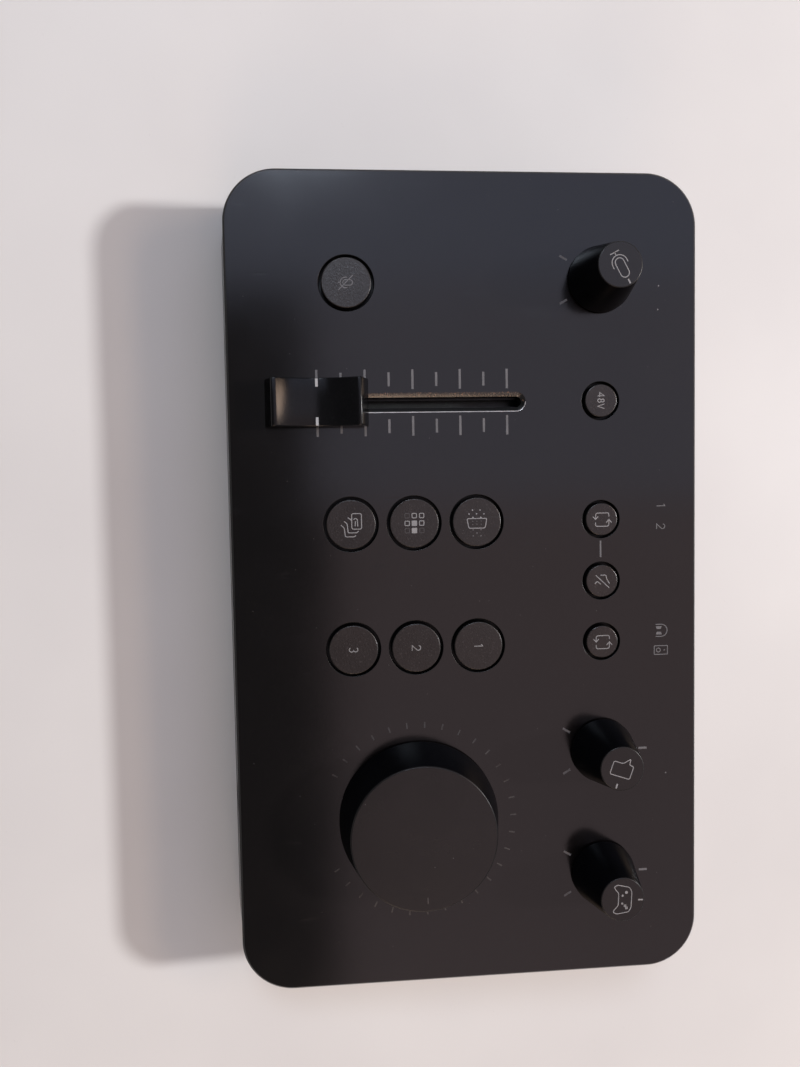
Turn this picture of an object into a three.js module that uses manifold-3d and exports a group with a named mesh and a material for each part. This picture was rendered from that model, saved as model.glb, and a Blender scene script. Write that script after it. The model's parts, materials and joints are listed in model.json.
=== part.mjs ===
// Desktop audio interface: a wedge-shaped case with a slide fader, four rotary controls and eleven keys.
// All lengths are millimetres. X runs to the right, Y to the rear and Z up.
// The origin lies on the table, under the middle of the case.

import * as THREE from 'three';
import { mergeVertices } from 'three/addons/utils/BufferGeometryUtils.js';
import Module from 'manifold-3d';

const wasm = await Module();
wasm.setup();

// Fits that all pieces share
const seam = 0.3;          // gap between neighbouring pieces
const overrun = 2;         // how far a cutter passes the face that it cuts

// Case
const caseWidth = 227.6;
const caseDepth = 130.5;
const caseCornerRadius = 14.4;
const frontHeight = 31.8;  // table to the front edge of the panel's face
const rearHeight = 49.7;
const caseWall = 2.4;
const panelReveal = 0.4;   // how far the case stands back under the panel's edge
const caseFootChamfer = 1.2;
const bossRadius = 4;
const bossHeight = 14;
const bossBite = 0.8;      // how deep a corner boss sinks into the wall

// Top panel
const panelThickness = 3;
const panelChamfer = 0.6;
const panelLipHeight = 2.5;
const panelLipWidth = 1.5;

// Bottom cover, feet and screws
const footHeight = 3;
const footRadius = 6.5;
const footEdge = 0.8;
const footRecess = 0.8;
const footInsetX = 26;     // from the side of the case to a foot's middle
const footInsetY = 17;     // from the front or rear of the case to a foot's middle
const coverThickness = 2.4;
const coverPadRadius = 5.5;
const coverPadHeight = 2.6;
const coverRibWidth = 1.4;
const coverRibHeight = 1.6;
const screwShankRadius = 1.4;
const screwShankLength = 11;
const screwHeadRadius = 2.8;
const screwHeadHeight = 1.9;
const screwHeadEdge = 0.5;

// Circuit boards and the posts that carry them
const boardThickness = 1.6;
const postRadius = 3;
const pegRadius = 1.3;
const mainBoardClearance = 3.6;  // cover to the underside of the main board
const mainBoardMarginX = 14;     // case side to the board's edge
const mainBoardMarginY = 5.4;
const mainPostInset = 9;         // board edge to a post's middle
const controlBoardDrop = 11;     // panel face to the top of the control board
const controlBoardMarginX = 13.5;
const controlBoardGap = 0.8;     // headset socket to the control board's front edge
const controlBoardRear = 19;     // panel's rear edge to the board's edge
const controlPostInset = 5;
const controlPostRear = 26;      // board's rear edge to the rear posts
const ribbonWidth = 22;
const ribbonThickness = 0.5;
const ribbonBow = 5;

// Places of the controls on the panel: columns from its sides and middle, rows from its edges
const micColumnInset = 29.5;
const faderColumnPitch = 33.5;   // microphone column to fader column
const muteColumnPitch = 1;       // microphone column to the mute key
const effectColumnOffset = 17.5;
const padColumnOffset = 17.4;
const gameColumnInset = 29.1;
const chatColumnPitch = 35.9;    // game column to chat column
const volumeColumnPitch = 18.2;  // game column to volume column
const firstRow = 32.85;
const rowPitch = 17.55;
const rearRowInset = 28.15;

// Keys
const largeKeyRadius = 6.85;
const largeKeyHoleRadius = 7.6;
const smallKeyRadius = 4.6;
const smallKeyHoleRadius = 5.35;
const keyProud = 0.7;
const keyEdge = 0.35;
const keyRoof = 0.9;
const keyWall = 1.1;
const keyFlangeWidth = 0.9;      // flange past the hole's edge
const keyFlangeHeight = 1.1;
const keyTravel = 1;
const switchWidth = 6.2;
const switchHeight = 3.6;
const stemRadius = 1.5;
const stemEngagement = 0.6;

// Rotary controls
const smallKnobRadius = 9.1;
const smallKnobTopRadius = 5.9;
const smallKnobTop = 17.3;
const smallKnobRoof = 8;         // solid head above the hollow
const largeKnobRadius = 22.5;
const largeKnobTopRadius = 19.9;
const largeKnobTop = 14.5;
const largeKnobRoof = 3.4;
const knobLift = 0.6;            // panel face to the underside of a knob
const knobSkirt = 0.8;
const knobEdge = 0.35;
const knobWall = 1.5;
const knobCrown = 1.8;           // above the shaft's bore
const knobHubWall = 1.6;
const knobHubRise = 1.2;         // knob's underside to the end of its hub
const knobRibWidth = 1.2;
const shaftRadius = 3;
const shaftFlat = 1.5;           // depth of the flat that turns the knob
const shaftFlatLength = 8;
const bushingWall = 0.9;
const bushingDrop = 0.5;         // panel face to the top of a bushing
const smallPotWidth = 10;
const smallPotDepth = 11.5;
const largePotWidth = 13;
const largePotDepth = 13;
const potHeight = 5.2;
const potFloor = 1;

// Slide fader
const faderStart = 24.25;        // panel's front edge to the lever at its lowest
const faderRearGap = 16.672;     // slot's rear end to the rear key's hole
const slotWidth = 4;
const slotChamfer = 0.45;
const slotEndRoom = 0.6;         // lever to the end of the slot
const slotCollarWall = 1.2;
const slotCollarDepth = 1.9;
const leverThickness = 1.2;
const leverWidth = 8;
const leverRoom = 0.4;
const carriageWidth = 7.6;
const carriageLength = 10;
const carriageHeight = 3.2;
const carriageDrop = 7;          // panel face to the top of the carriage
const frameWidth = 10;
const frameWall = 0.8;
const frameEndRoom = 1.5;
const rodRadius = 0.75;
const rodOffset = 2.3;
const capLength = 28;
const capTopLength = 24.1;
const capWidth = 13;
const capHeight = 7;             // panel face to the top of the cap's lips
const capLift = 0.6;
const capToe = 1;                // upright strip round the cap's foot
const capLip = 1.1;
const capSaddleDepth = 2;
const capEdge = 0.3;
const capWall = 1.3;
const capSocketWall = 1.1;

// Sockets and the rear panel
const rearPanelThickness = 1.6;
const rearPanelHeight = 35;
const rearPanelMarginX = 13.4;   // case side to the rear panel's end
const rearWindowLap = 2.2;       // how far the case laps over the rear panel
const micSocketHeight = 22.5;    // table to the middle of the microphone socket
const micFlangeWidth = 26;
const micFlangeHeight = 29;
const micFlangeThickness = 1.9;
const micFlangeCorner = 3;
const micBarrelRadius = 10.6;
const micBarrelDepth = 21;
const micGrooveRadius = 9.2;
const micInsertRadius = 7.9;
const micGrooveDepth = 11;
const micInsertRecess = 0.6;     // the insert stands back from the flange's face
const micContactRadius = 1.3;
const micContactCircle = 5.7;
const phoneBoreRadius = 3.25;
const phoneBoreDepth = 17;
const phoneBushingRadius = 4.6;
const phoneNutRadius = 6.6;
const phoneNutHeight = 1.7;
const phoneBodyWidth = 13;
const phoneBodyHeight = 14;
const phoneBodyDepth = 22;
const miniBoreRadius = 1.8;
const miniBoreDepth = 12;
const miniBushingRadius = 3;
const miniNutRadius = 4;
const miniNutHeight = 1;
const miniBodyWidth = 8;
const miniBodyHeight = 8;
const miniBodyDepth = 13;
const usbWidth = 9;
const usbHeight = 3.3;
const usbDepth = 9;
const usbWall = 0.4;
const usbTongueWidth = 6.6;
const usbTongueHeight = 0.8;
const auxSocketPitch = 36;       // microphone socket to line socket
const usbSocketPitch = 20;       // line socket to first data socket, and on to the second
const speakerSocketPitch = 24;
const speakerSocketInset = 33;   // case side to the outer speaker socket
const headsetInset = 50.6;       // case side to the headset socket at the front
const headsetHoleRadius = 4.4;

// Angles, clockwise from the rear as seen from above
const micKnobAngle = 61.8;
const chatKnobAngle = 108.7;
const gameKnobAngle = 3.3;
const volumeKnobAngle = 88;

// Facet counts
const cornerSteps = 5;
const slotSteps = 3;
const largeKeySides = 24;
const smallKeySides = 20;
const smallKnobSides = 28;
const largeKnobSides = 44;
const shaftSides = 16;
const postSides = 8;
const stemSides = 6;
const footSides = 16;
const screwSides = 8;
const rodSides = 8;
const socketSides = 18;
const boreSides = 12;
const hexSides = 6;
const knobRibCount = 6;
const saddleSteps = 10;
const ribbonSteps = 8;
const micContactCount = 3;

// Values worked out from the sizes above
const panelTilt = Math.atan2(rearHeight - frontHeight, caseDepth);
const panelLength = Math.hypot(rearHeight - frontHeight, caseDepth);
const innerInset = panelReveal + caseWall;
const coverTop = footHeight + coverThickness;
const coverPadTop = coverTop + coverPadHeight;
const mainBoardBottom = coverTop + mainBoardClearance;
const mainBoardTop = mainBoardBottom + boardThickness;
const bossDiagonal = caseCornerRadius - innerInset - bossRadius + bossBite;
const bossX = caseWidth / 2 - caseCornerRadius + bossDiagonal * Math.SQRT1_2;
const bossY = caseDepth / 2 - caseCornerRadius + bossDiagonal * Math.SQRT1_2;
const rearPanelFace = caseDepth / 2 - innerInset - seam;
const phoneSocketHeight = mainBoardTop + seam + phoneBodyHeight / 2;
const miniSocketHeight = mainBoardTop + seam + miniBodyHeight / 2;
const usbSocketHeight = mainBoardTop + seam + usbHeight / 2;
const headsetSocketX = caseWidth / 2 - headsetInset;
const headsetSocketY = innerInset + rearPanelThickness - caseDepth / 2;
const headsetSocketRear = headsetSocketY + rearPanelThickness + seam + miniBodyDepth;
const speakerSocketX = caseWidth / 2 - speakerSocketInset;
const micColumn = micColumnInset - caseWidth / 2;
const auxSocketX = micColumn + auxSocketPitch;
const usbSocketX = auxSocketX + usbSocketPitch;
const faderColumn = micColumn + faderColumnPitch;
const gameColumn = caseWidth / 2 - gameColumnInset;
const chatColumn = gameColumn - chatColumnPitch;
const volumeColumn = gameColumn - volumeColumnPitch;
const middleRow = firstRow + rowPitch;
const thirdRow = middleRow + rowPitch;
const rearRow = panelLength - rearRowInset;
const slotFront = faderStart - leverWidth / 2 - slotEndRoom;
const slotRear = rearRow - smallKeyHoleRadius - faderRearGap;
const leverSlotLength = slotRear - slotFront;
const faderTravel = leverSlotLength - leverWidth - slotEndRoom * 2;
const faderMiddle = faderStart + faderTravel / 2;
const panelUnderside = -panelThickness;
const controlBoardTop = -controlBoardDrop;
const switchTop = controlBoardTop + seam + switchHeight;

// Finishes
const panelBlack = new THREE.MeshStandardMaterial({ color: 0x3a393c, roughness: 0.55, metalness: 0 });
const caseBlack = new THREE.MeshStandardMaterial({ color: 0x2b2a2c, roughness: 0.5, metalness: 0 });
const coverBlack = new THREE.MeshStandardMaterial({ color: 0x1d1d1f, roughness: 0.7, metalness: 0 });
const rearBlack = new THREE.MeshStandardMaterial({ color: 0x232325, roughness: 0.6, metalness: 0.2 });
const rubberBlack = new THREE.MeshStandardMaterial({ color: 0x141414, roughness: 0.9, metalness: 0 });
const keyRubber = new THREE.MeshStandardMaterial({ color: 0x403b3b, roughness: 0.6, metalness: 0 });
const knobBlack = new THREE.MeshStandardMaterial({ color: 0x1b1a1b, roughness: 0.55, metalness: 0 });
const capGloss = new THREE.MeshStandardMaterial({ color: 0x0d0d0f, roughness: 0.25, metalness: 0 });
const steel = new THREE.MeshStandardMaterial({ color: 0xb4b4b2, roughness: 0.35, metalness: 1 });
const blackSteel = new THREE.MeshStandardMaterial({ color: 0x26262a, roughness: 0.4, metalness: 0.9 });
const boardGreen = new THREE.MeshStandardMaterial({ color: 0x16402a, roughness: 0.5, metalness: 0 });
const socketBlack = new THREE.MeshStandardMaterial({ color: 0x101011, roughness: 0.45, metalness: 0 });
const ribbonGrey = new THREE.MeshStandardMaterial({ color: 0xd8d8d4, roughness: 0.5, metalness: 0 });

// Solids: closed meshes are joined and cut, and come back as plain geometry

function solidOf(geometry) {
  const bare = geometry.clone();
  bare.deleteAttribute('normal');
  bare.deleteAttribute('uv');
  const merged = mergeVertices(bare);
  const index = merged.getIndex().array;
  const corners = [];
  for (let i = 0; i < index.length; i += 3) {
    const [a, b, c] = [index[i], index[i + 1], index[i + 2]];
    if (a !== b && b !== c && c !== a) corners.push(a, b, c);
  }
  return new wasm.Manifold(new wasm.Mesh({
    numProp: 3,
    vertProperties: new Float32Array(merged.getAttribute('position').array),
    triVerts: new Uint32Array(corners),
  }));
}

function geometryOf(solid) {
  const mesh = solid.getMesh();
  const geometry = new THREE.BufferGeometry();
  geometry.setAttribute('position', new THREE.BufferAttribute(new Float32Array(mesh.vertProperties), 3));
  geometry.setIndex(new THREE.BufferAttribute(new Uint32Array(mesh.triVerts), 1));
  geometry.computeVertexNormals();
  return geometry;
}

function join(...geometries) {
  return geometries.map(solidOf).reduce((whole, piece) => whole.add(piece));
}

function cut(solid, ...geometries) {
  return geometries.map(solidOf).reduce((whole, piece) => whole.subtract(piece), solid);
}

// Shapes: blocks and posts stand between a low and a high level

function block(width, depth, low, high) {
  return new THREE.BoxGeometry(width, depth, high - low).translate(0, 0, (low + high) / 2);
}

function post(radius, low, high, sides) {
  const geometry = new THREE.CylinderGeometry(radius, radius, high - low, sides).rotateX(Math.PI / 2);
  return geometry.translate(0, 0, (low + high) / 2);
}

function barrel(radius, near, far, sides) {
  return new THREE.CylinderGeometry(radius, radius, far - near, sides).translate(0, (near + far) / 2, 0);
}

function turned(profile, sides) {
  const points = profile.map(([radius, height]) => new THREE.Vector2(radius, height));
  return new THREE.LatheGeometry(points, sides).rotateX(Math.PI / 2);
}

function roundedRectangle(width, depth, radius) {
  const x = width / 2 - radius;
  const y = depth / 2 - radius;
  const shape = new THREE.Shape();
  shape.absarc(x, y, radius, 0, Math.PI / 2);
  shape.absarc(-x, y, radius, Math.PI / 2, Math.PI);
  shape.absarc(-x, -y, radius, Math.PI, Math.PI * 1.5);
  shape.absarc(x, -y, radius, Math.PI * 1.5, Math.PI * 2);
  shape.closePath();
  return shape;
}

function slotOutline(width, length) {
  return roundedRectangle(width, length, width / 2);
}

function prism(shape, low, high, steps = cornerSteps) {
  const settings = { depth: high - low, bevelEnabled: false, curveSegments: steps };
  return new THREE.ExtrudeGeometry(shape, settings).translate(0, 0, low);
}

// A prism whose two ends draw in by the chamfer
function chamferedPrism(shape, low, high, chamfer) {
  const settings = {
    depth: high - low - chamfer * 2,
    bevelThickness: chamfer,
    bevelSize: chamfer,
    bevelOffset: -chamfer,
    bevelSegments: 1,
    curveSegments: cornerSteps,
  };
  return new THREE.ExtrudeGeometry(shape, settings).translate(0, 0, low + chamfer);
}

// A profile drawn in Y and Z, carried along X and centred on it
function slabAlongX(shape, width, edge) {
  const settings = {
    depth: width - edge * 2,
    bevelEnabled: edge > 0,
    bevelThickness: edge,
    bevelSize: edge,
    bevelOffset: -edge,
    bevelSegments: 1,
    curveSegments: cornerSteps,
  };
  const yAxis = new THREE.Vector3(0, 1, 0);
  const zAxis = new THREE.Vector3(0, 0, 1);
  const xAxis = new THREE.Vector3(1, 0, 0);
  const geometry = new THREE.ExtrudeGeometry(shape, settings).translate(0, 0, edge - width / 2);
  return geometry.applyMatrix4(new THREE.Matrix4().makeBasis(yAxis, zAxis, xAxis));
}

function caseOutline(inset) {
  return roundedRectangle(caseWidth - inset * 2, caseDepth - inset * 2, caseCornerRadius - inset);
}

// The same place four times, once in each corner
function corners(x, y) {
  return [[-x, -y], [x, -y], [-x, y], [x, y]];
}

function atEach(places, make) {
  return places.map(([x, y]) => make().translate(x, y, 0));
}

// Panel frame: its origin is the middle of the panel's front edge, Z stands square to the panel's face
const panelMatrix = new THREE.Matrix4()
  .makeTranslation(0, -caseDepth / 2, frontHeight)
  .multiply(new THREE.Matrix4().makeRotationX(panelTilt));

// Distance up the panel of an upright plane at caseY, measured some way under the panel's face
function panelYAt(caseY, below) {
  return (caseY + caseDepth / 2 - below * Math.sin(panelTilt)) / Math.cos(panelTilt);
}

const assembly = new THREE.Group();
const panelGroup = new THREE.Group();
panelGroup.position.set(0, -caseDepth / 2, frontHeight);
panelGroup.rotation.x = panelTilt;
assembly.add(panelGroup);

function addPiece(group, name, shape, material, x = 0, y = 0, z = 0) {
  const geometry = shape.isBufferGeometry ? shape : geometryOf(shape);
  const mesh = new THREE.Mesh(geometry, material);
  mesh.name = name;
  mesh.position.set(x, y, z);
  group.add(mesh);
  return mesh;
}

function addGroup(parent, x, y, clockwiseAngle = 0) {
  const group = new THREE.Group();
  group.position.set(x, y, 0);
  group.rotation.z = -THREE.MathUtils.degToRad(clockwiseAngle);
  parent.add(group);
  return group;
}

// Case shell: an upright wall with a slanting top, corner bosses, a rear window and a headset hole

function caseShell() {
  const outer = chamferedPrism(caseOutline(panelReveal), footHeight, rearHeight + overrun, caseFootChamfer);
  const inner = prism(caseOutline(innerInset), -overrun, rearHeight + overrun * 2);
  const above = block(caseWidth * 2, panelLength * 3, panelUnderside - seam, rearHeight);
  const bossLow = coverPadTop + seam;
  const bosses = atEach(corners(bossX, bossY), () =>
    post(bossRadius, bossLow, bossLow + bossHeight, screwSides));
  const bores = atEach(corners(bossX, bossY), () =>
    post(screwShankRadius + seam, bossLow - overrun, coverPadTop + screwShankLength, screwSides));
  const windowWidth = caseWidth - (rearPanelMarginX + rearWindowLap) * 2;
  const windowLow = coverTop + rearWindowLap;
  const windowHigh = coverTop + rearPanelHeight - rearWindowLap;
  const window = block(windowWidth, caseWall + overrun * 2, windowLow, windowHigh)
    .translate(0, caseDepth / 2 - innerInset + caseWall / 2, 0);
  const headsetHole = barrel(headsetHoleRadius, -overrun, caseWall + overrun, socketSides)
    .translate(headsetSocketX, panelReveal - caseDepth / 2, miniSocketHeight);
  const ring = cut(join(outer), inner);
  const bossed = bosses.reduce((whole, boss) => whole.add(solidOf(boss)), ring);
  return cut(bossed, ...bores, above.applyMatrix4(panelMatrix), window, headsetHole);
}

// Top panel: chamfered plate with its lip, the board posts, the fader collar and every opening

function slotCutters(low) {
  const outline = slotOutline(slotWidth, leverSlotLength);
  const mouth = new THREE.ExtrudeGeometry(outline, {
    depth: overrun,
    bevelThickness: slotChamfer,
    bevelSize: slotChamfer,
    bevelSegments: 1,
    curveSegments: slotSteps,
  });
  return [prism(outline, low, overrun, slotSteps), mouth]
    .map((geometry) => geometry.translate(faderColumn, faderMiddle, 0));
}

const keyPlan = [
  ['mic_mute', micColumn + muteColumnPitch, firstRow, true],
  ['effect_1', -effectColumnOffset, thirdRow, true],
  ['effect_2', -effectColumnOffset, middleRow, true],
  ['effect_3', -effectColumnOffset, firstRow, true],
  ['pad_1', padColumnOffset, thirdRow, true],
  ['pad_2', padColumnOffset, middleRow, true],
  ['pad_3', padColumnOffset, firstRow, true],
  ['phantom_power', faderColumn, rearRow, false],
  ['source_select', -effectColumnOffset, rearRow, false],
  ['stream_mute', 0, rearRow, false],
  ['output_select', padColumnOffset, rearRow, false],
];

const knobPlan = [
  ['mic', micColumn, rearRow, micKnobAngle, false],
  ['chat', chatColumn, rearRow, chatKnobAngle, false],
  ['game', gameColumn, rearRow, gameKnobAngle, false],
  ['volume', volumeColumn, middleRow, volumeKnobAngle, true],
];

const controlBoardHalf = caseWidth / 2 - controlBoardMarginX;
const controlBoardFront = panelYAt(headsetSocketRear, controlBoardDrop) + controlBoardGap;
const controlBoardBack = panelLength - controlBoardRear;
const controlPostX = controlBoardHalf - controlPostInset;
const controlPostPlaces = [-controlPostX, 0, controlPostX].flatMap((x) => [
  [x, controlBoardFront + controlPostInset],
  [x, controlBoardBack - controlPostRear],
]);

function topPanel() {
  const plateLength = panelYAt(caseDepth / 2, panelThickness);
  const outline = roundedRectangle(caseWidth, plateLength, caseCornerRadius);
  const plateLow = panelUnderside - panelChamfer * 2;
  const plate = chamferedPrism(outline, plateLow, 0, panelChamfer).translate(0, plateLength / 2, 0);
  const below = block(caseWidth * 2, panelLength * 3, plateLow - overrun, panelUnderside);
  const lipFront = panelYAt(innerInset - caseDepth / 2, panelThickness) + seam;
  const lipRear = panelYAt(caseDepth / 2 - innerInset, panelThickness + panelLipHeight) - seam;
  const lipWidth = caseWidth - (innerInset + seam) * 2;
  const lipRadius = caseCornerRadius - innerInset - seam;
  const lipLow = panelUnderside - panelLipHeight;
  const lipOuter = prism(roundedRectangle(lipWidth, lipRear - lipFront, lipRadius), lipLow, panelUnderside);
  const lipInner = prism(roundedRectangle(
    lipWidth - panelLipWidth * 2,
    lipRear - lipFront - panelLipWidth * 2,
    lipRadius - panelLipWidth,
  ), lipLow - overrun, panelUnderside);
  const lip = cut(solidOf(lipOuter), lipInner);
  const lipGeometry = geometryOf(lip).translate(0, (lipFront + lipRear) / 2, 0);
  const posts = atEach(controlPostPlaces, () =>
    post(postRadius, controlBoardTop + seam, panelUnderside, postSides));
  const pegs = atEach(controlPostPlaces, () =>
    post(pegRadius, controlBoardTop - boardThickness, panelUnderside, stemSides));
  const collar = prism(slotOutline(slotWidth + slotCollarWall * 2, leverSlotLength + slotCollarWall * 2),
    panelUnderside - slotCollarDepth, panelUnderside, slotSteps).translate(faderColumn, faderMiddle, 0);
  const bushingHole = shaftRadius + seam * 2 + bushingWall;
  const keyHoles = keyPlan.map(([, x, y, large]) =>
    post(large ? largeKeyHoleRadius : smallKeyHoleRadius, panelUnderside - overrun, overrun,
      large ? largeKeySides : smallKeySides).translate(x, y, 0));
  const shaftHoles = knobPlan.map(([, x, y]) =>
    post(bushingHole, panelUnderside - overrun, overrun, shaftSides).translate(x, y, 0));
  const plateSolid = cut(solidOf(plate), below);
  const furnished = [lipGeometry, ...posts, ...pegs, collar]
    .reduce((whole, piece) => whole.add(solidOf(piece)), plateSolid);
  const slot = slotCutters(panelUnderside - slotCollarDepth - overrun);
  return cut(furnished, ...slot, ...keyHoles, ...shaftHoles);
}

// Bottom cover: plate with screw wells, foot recesses, board posts and ribs

const mainBoardWidth = caseWidth - mainBoardMarginX * 2;
const mainBoardDepth = caseDepth - mainBoardMarginY * 2;
const mainPostX = mainBoardWidth / 2 - mainPostInset;
const mainPostY = mainBoardDepth / 2 - mainPostInset;
const mainPostPlaces = [-mainPostX, 0, mainPostX].flatMap((x) => [[x, -mainPostY], [x, mainPostY]]);
const footPlaces = corners(caseWidth / 2 - footInsetX, caseDepth / 2 - footInsetY);

function bottomCover() {
  const outline = caseOutline(innerInset + seam);
  const plate = prism(outline, footHeight, coverTop);
  const upright = prism(outline, 0, rearHeight);
  const pads = atEach(corners(bossX, bossY), () => post(coverPadRadius, footHeight, coverPadTop, screwSides));
  const posts = atEach(mainPostPlaces, () => post(postRadius, footHeight, mainBoardBottom - seam, postSides));
  const pegs = atEach(mainPostPlaces, () => post(pegRadius, footHeight, mainBoardTop, stemSides));
  const ribs = [-mainPostX, 0, mainPostX].map((x) =>
    block(coverRibWidth, mainPostY * 2, footHeight, coverTop + coverRibHeight).translate(x, 0, 0));
  const wellTop = footHeight + screwHeadHeight + seam * 2;
  const wells = atEach(corners(bossX, bossY), () =>
    post(screwHeadRadius + seam, footHeight - overrun, wellTop, screwSides));
  const holes = atEach(corners(bossX, bossY), () =>
    post(screwShankRadius + seam, footHeight, coverPadTop + overrun, screwSides));
  const recesses = atEach(footPlaces, () =>
    post(footRadius + seam, footHeight - overrun, footHeight + footRecess, footSides));
  const raised = join(plate, ...pads, ...posts, ...pegs, ...ribs).intersect(solidOf(upright));
  return cut(raised, ...wells, ...holes, ...recesses);
}

function foot() {
  return turned([
    [0, 0],
    [footRadius - footEdge, 0],
    [footRadius, footEdge],
    [footRadius, footHeight + footRecess - seam],
    [0, footHeight + footRecess - seam],
  ], footSides);
}

function caseScrew() {
  const headLow = footHeight + seam;
  const headTop = headLow + screwHeadHeight;
  return turned([
    [0, headLow],
    [screwHeadRadius - screwHeadEdge, headLow],
    [screwHeadRadius, headLow + screwHeadEdge],
    [screwHeadRadius, headTop],
    [screwShankRadius, headTop],
    [screwShankRadius, headTop + screwShankLength],
    [0, headTop + screwShankLength + screwShankRadius],
  ], screwSides);
}

// Circuit boards, each located by the pegs of the piece that carries it

function board(width, front, rear, low, pegPlaces) {
  const plate = new THREE.BoxGeometry(width, rear - front, boardThickness)
    .translate(0, (front + rear) / 2, low + boardThickness / 2);
  const holes = atEach(pegPlaces, () => post(pegRadius + seam, low - overrun, low + overrun * 2, postSides));
  return cut(solidOf(plate), ...holes);
}

// Flat ribbon between the boards, bowed forward so that the case can be opened
function boardRibbon() {
  const start = mainBoardTop + seam;
  const rear = caseDepth / 2 - controlBoardRear - ribbonWidth;
  const along = panelYAt(rear, controlBoardDrop + boardThickness);
  const under = controlBoardDrop + boardThickness + seam * 2;
  const end = frontHeight + along * Math.sin(panelTilt) - under * Math.cos(panelTilt);
  const front = [];
  const back = [];
  for (let i = 0; i <= ribbonSteps; i += 1) {
    const share = i / ribbonSteps;
    const bow = ribbonBow * Math.sin(Math.PI * share);
    const height = start + (end - start) * share;
    front.push(new THREE.Vector2(rear - bow, height));
    back.unshift(new THREE.Vector2(rear - bow + ribbonThickness, height));
  }
  return slabAlongX(new THREE.Shape([...back, ...front]), ribbonWidth, 0);
}

// Keys: a hollow cap held under the panel by its flange, with a stem that enters the switch

function key(radius, holeRadius, sides) {
  const flangeTop = panelUnderside - seam;
  const flangeLow = flangeTop - keyFlangeHeight;
  const flangeRadius = holeRadius + keyFlangeWidth;
  const roof = keyProud - keyEdge - keyRoof;
  const cap = turned([
    [0, roof],
    [radius - keyWall, roof],
    [radius - keyWall, flangeLow],
    [flangeRadius, flangeLow],
    [flangeRadius, flangeTop],
    [radius, flangeTop],
    [radius, keyProud - keyEdge],
    [radius - keyEdge, keyProud],
    [0, keyProud],
  ], sides);
  return join(cap, post(stemRadius, switchTop - stemEngagement, roof + keyRoof / 2, stemSides));
}

function keySwitch() {
  const housing = block(switchWidth, switchWidth, controlBoardTop + seam, switchTop);
  const wellLow = switchTop - stemEngagement - keyTravel - seam;
  return cut(solidOf(housing), post(stemRadius + seam, wellLow, switchTop + overrun, stemSides));
}

// Rotary controls: a tapered hollow knob on a flatted shaft that turns in the control's bushing

function shaft(top, radius, low) {
  const flat = block(radius * 2 + overrun, radius, top - shaftFlatLength, top + overrun)
    .translate(0, radius * 1.5 - shaftFlat, 0);
  return cut(solidOf(post(radius, low, top, shaftSides)), flat);
}

function knob(radius, topRadius, top, roofThickness, sides, ribCount) {
  const skirtTop = knobLift + knobSkirt;
  const roof = top - roofThickness;
  const taper = (radius - topRadius) / (top - skirtTop);
  const roofRadius = radius - knobWall - taper * (roof - skirtTop);
  const hubRadius = shaftRadius + seam + knobHubWall;
  const hubLow = knobLift + knobHubRise;
  const body = turned([
    [0, hubLow],
    [hubRadius, hubLow],
    [hubRadius, roof],
    [roofRadius, roof],
    [radius - knobWall, knobLift],
    [radius, knobLift],
    [radius, skirtTop],
    [topRadius, top - knobEdge],
    [topRadius - knobEdge, top],
    [0, top],
  ], sides);
  const ribNear = hubRadius - knobHubWall / 2;
  const ribFar = roofRadius + knobWall / 2;
  const ribs = Array.from({ length: ribCount }, (_, i) =>
    block(knobRibWidth, ribFar - ribNear, hubLow, roof + roofThickness / 2)
      .translate(0, (ribNear + ribFar) / 2, 0)
      .rotateZ((i * Math.PI * 2) / ribCount));
  const bore = geometryOf(shaft(top - knobCrown, shaftRadius + seam, knobLift - overrun));
  return cut(join(body, ...ribs), bore);
}

function potentiometer(width, depth) {
  const wellRadius = shaftRadius + seam;
  const low = controlBoardTop + seam;
  const housing = block(width, depth, low, low + potHeight);
  const bushing = post(wellRadius + bushingWall, low + potHeight / 2, -bushingDrop, shaftSides);
  return cut(join(housing, bushing), post(wellRadius, low + potFloor, overrun, shaftSides));
}

// Slide fader: an open-bottomed frame, a guide rod, the carriage with its lever, and the finger cap

const frameLow = controlBoardTop + seam;
const frameHigh = panelUnderside - slotCollarDepth - seam;
const frameInside = faderTravel + carriageLength + frameEndRoom * 2;
const frameLength = frameInside + frameWall * 2;
const rodHeight = -carriageDrop - carriageHeight / 2;

function faderFrame() {
  const shell = block(frameWidth, frameLength, frameLow, frameHigh);
  const inside = block(frameWidth - frameWall * 2, frameInside, frameLow - overrun, frameHigh - frameWall);
  const slot = block(leverThickness + leverRoom * 2, faderTravel + leverWidth + leverRoom * 2,
    frameLow, frameHigh + overrun);
  const rodHole = barrel(rodRadius + seam, -frameLength, frameLength, rodSides)
    .translate(rodOffset, 0, rodHeight);
  return cut(solidOf(shell), inside, slot, rodHole);
}

function guideRod() {
  return barrel(rodRadius, -frameLength / 2, frameLength / 2, rodSides).translate(rodOffset, 0, rodHeight);
}

function faderCarriage() {
  const tongueTop = capHeight - capSaddleDepth - capWall - seam;
  const slider = block(carriageWidth, carriageLength, -carriageDrop - carriageHeight, -carriageDrop);
  const tongue = block(leverThickness, leverWidth, -carriageDrop - carriageHeight / 2, tongueTop);
  const bore = barrel(rodRadius + seam, -carriageLength, carriageLength, rodSides)
    .translate(rodOffset, 0, rodHeight);
  return cut(join(slider, tongue), bore);
}

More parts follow.
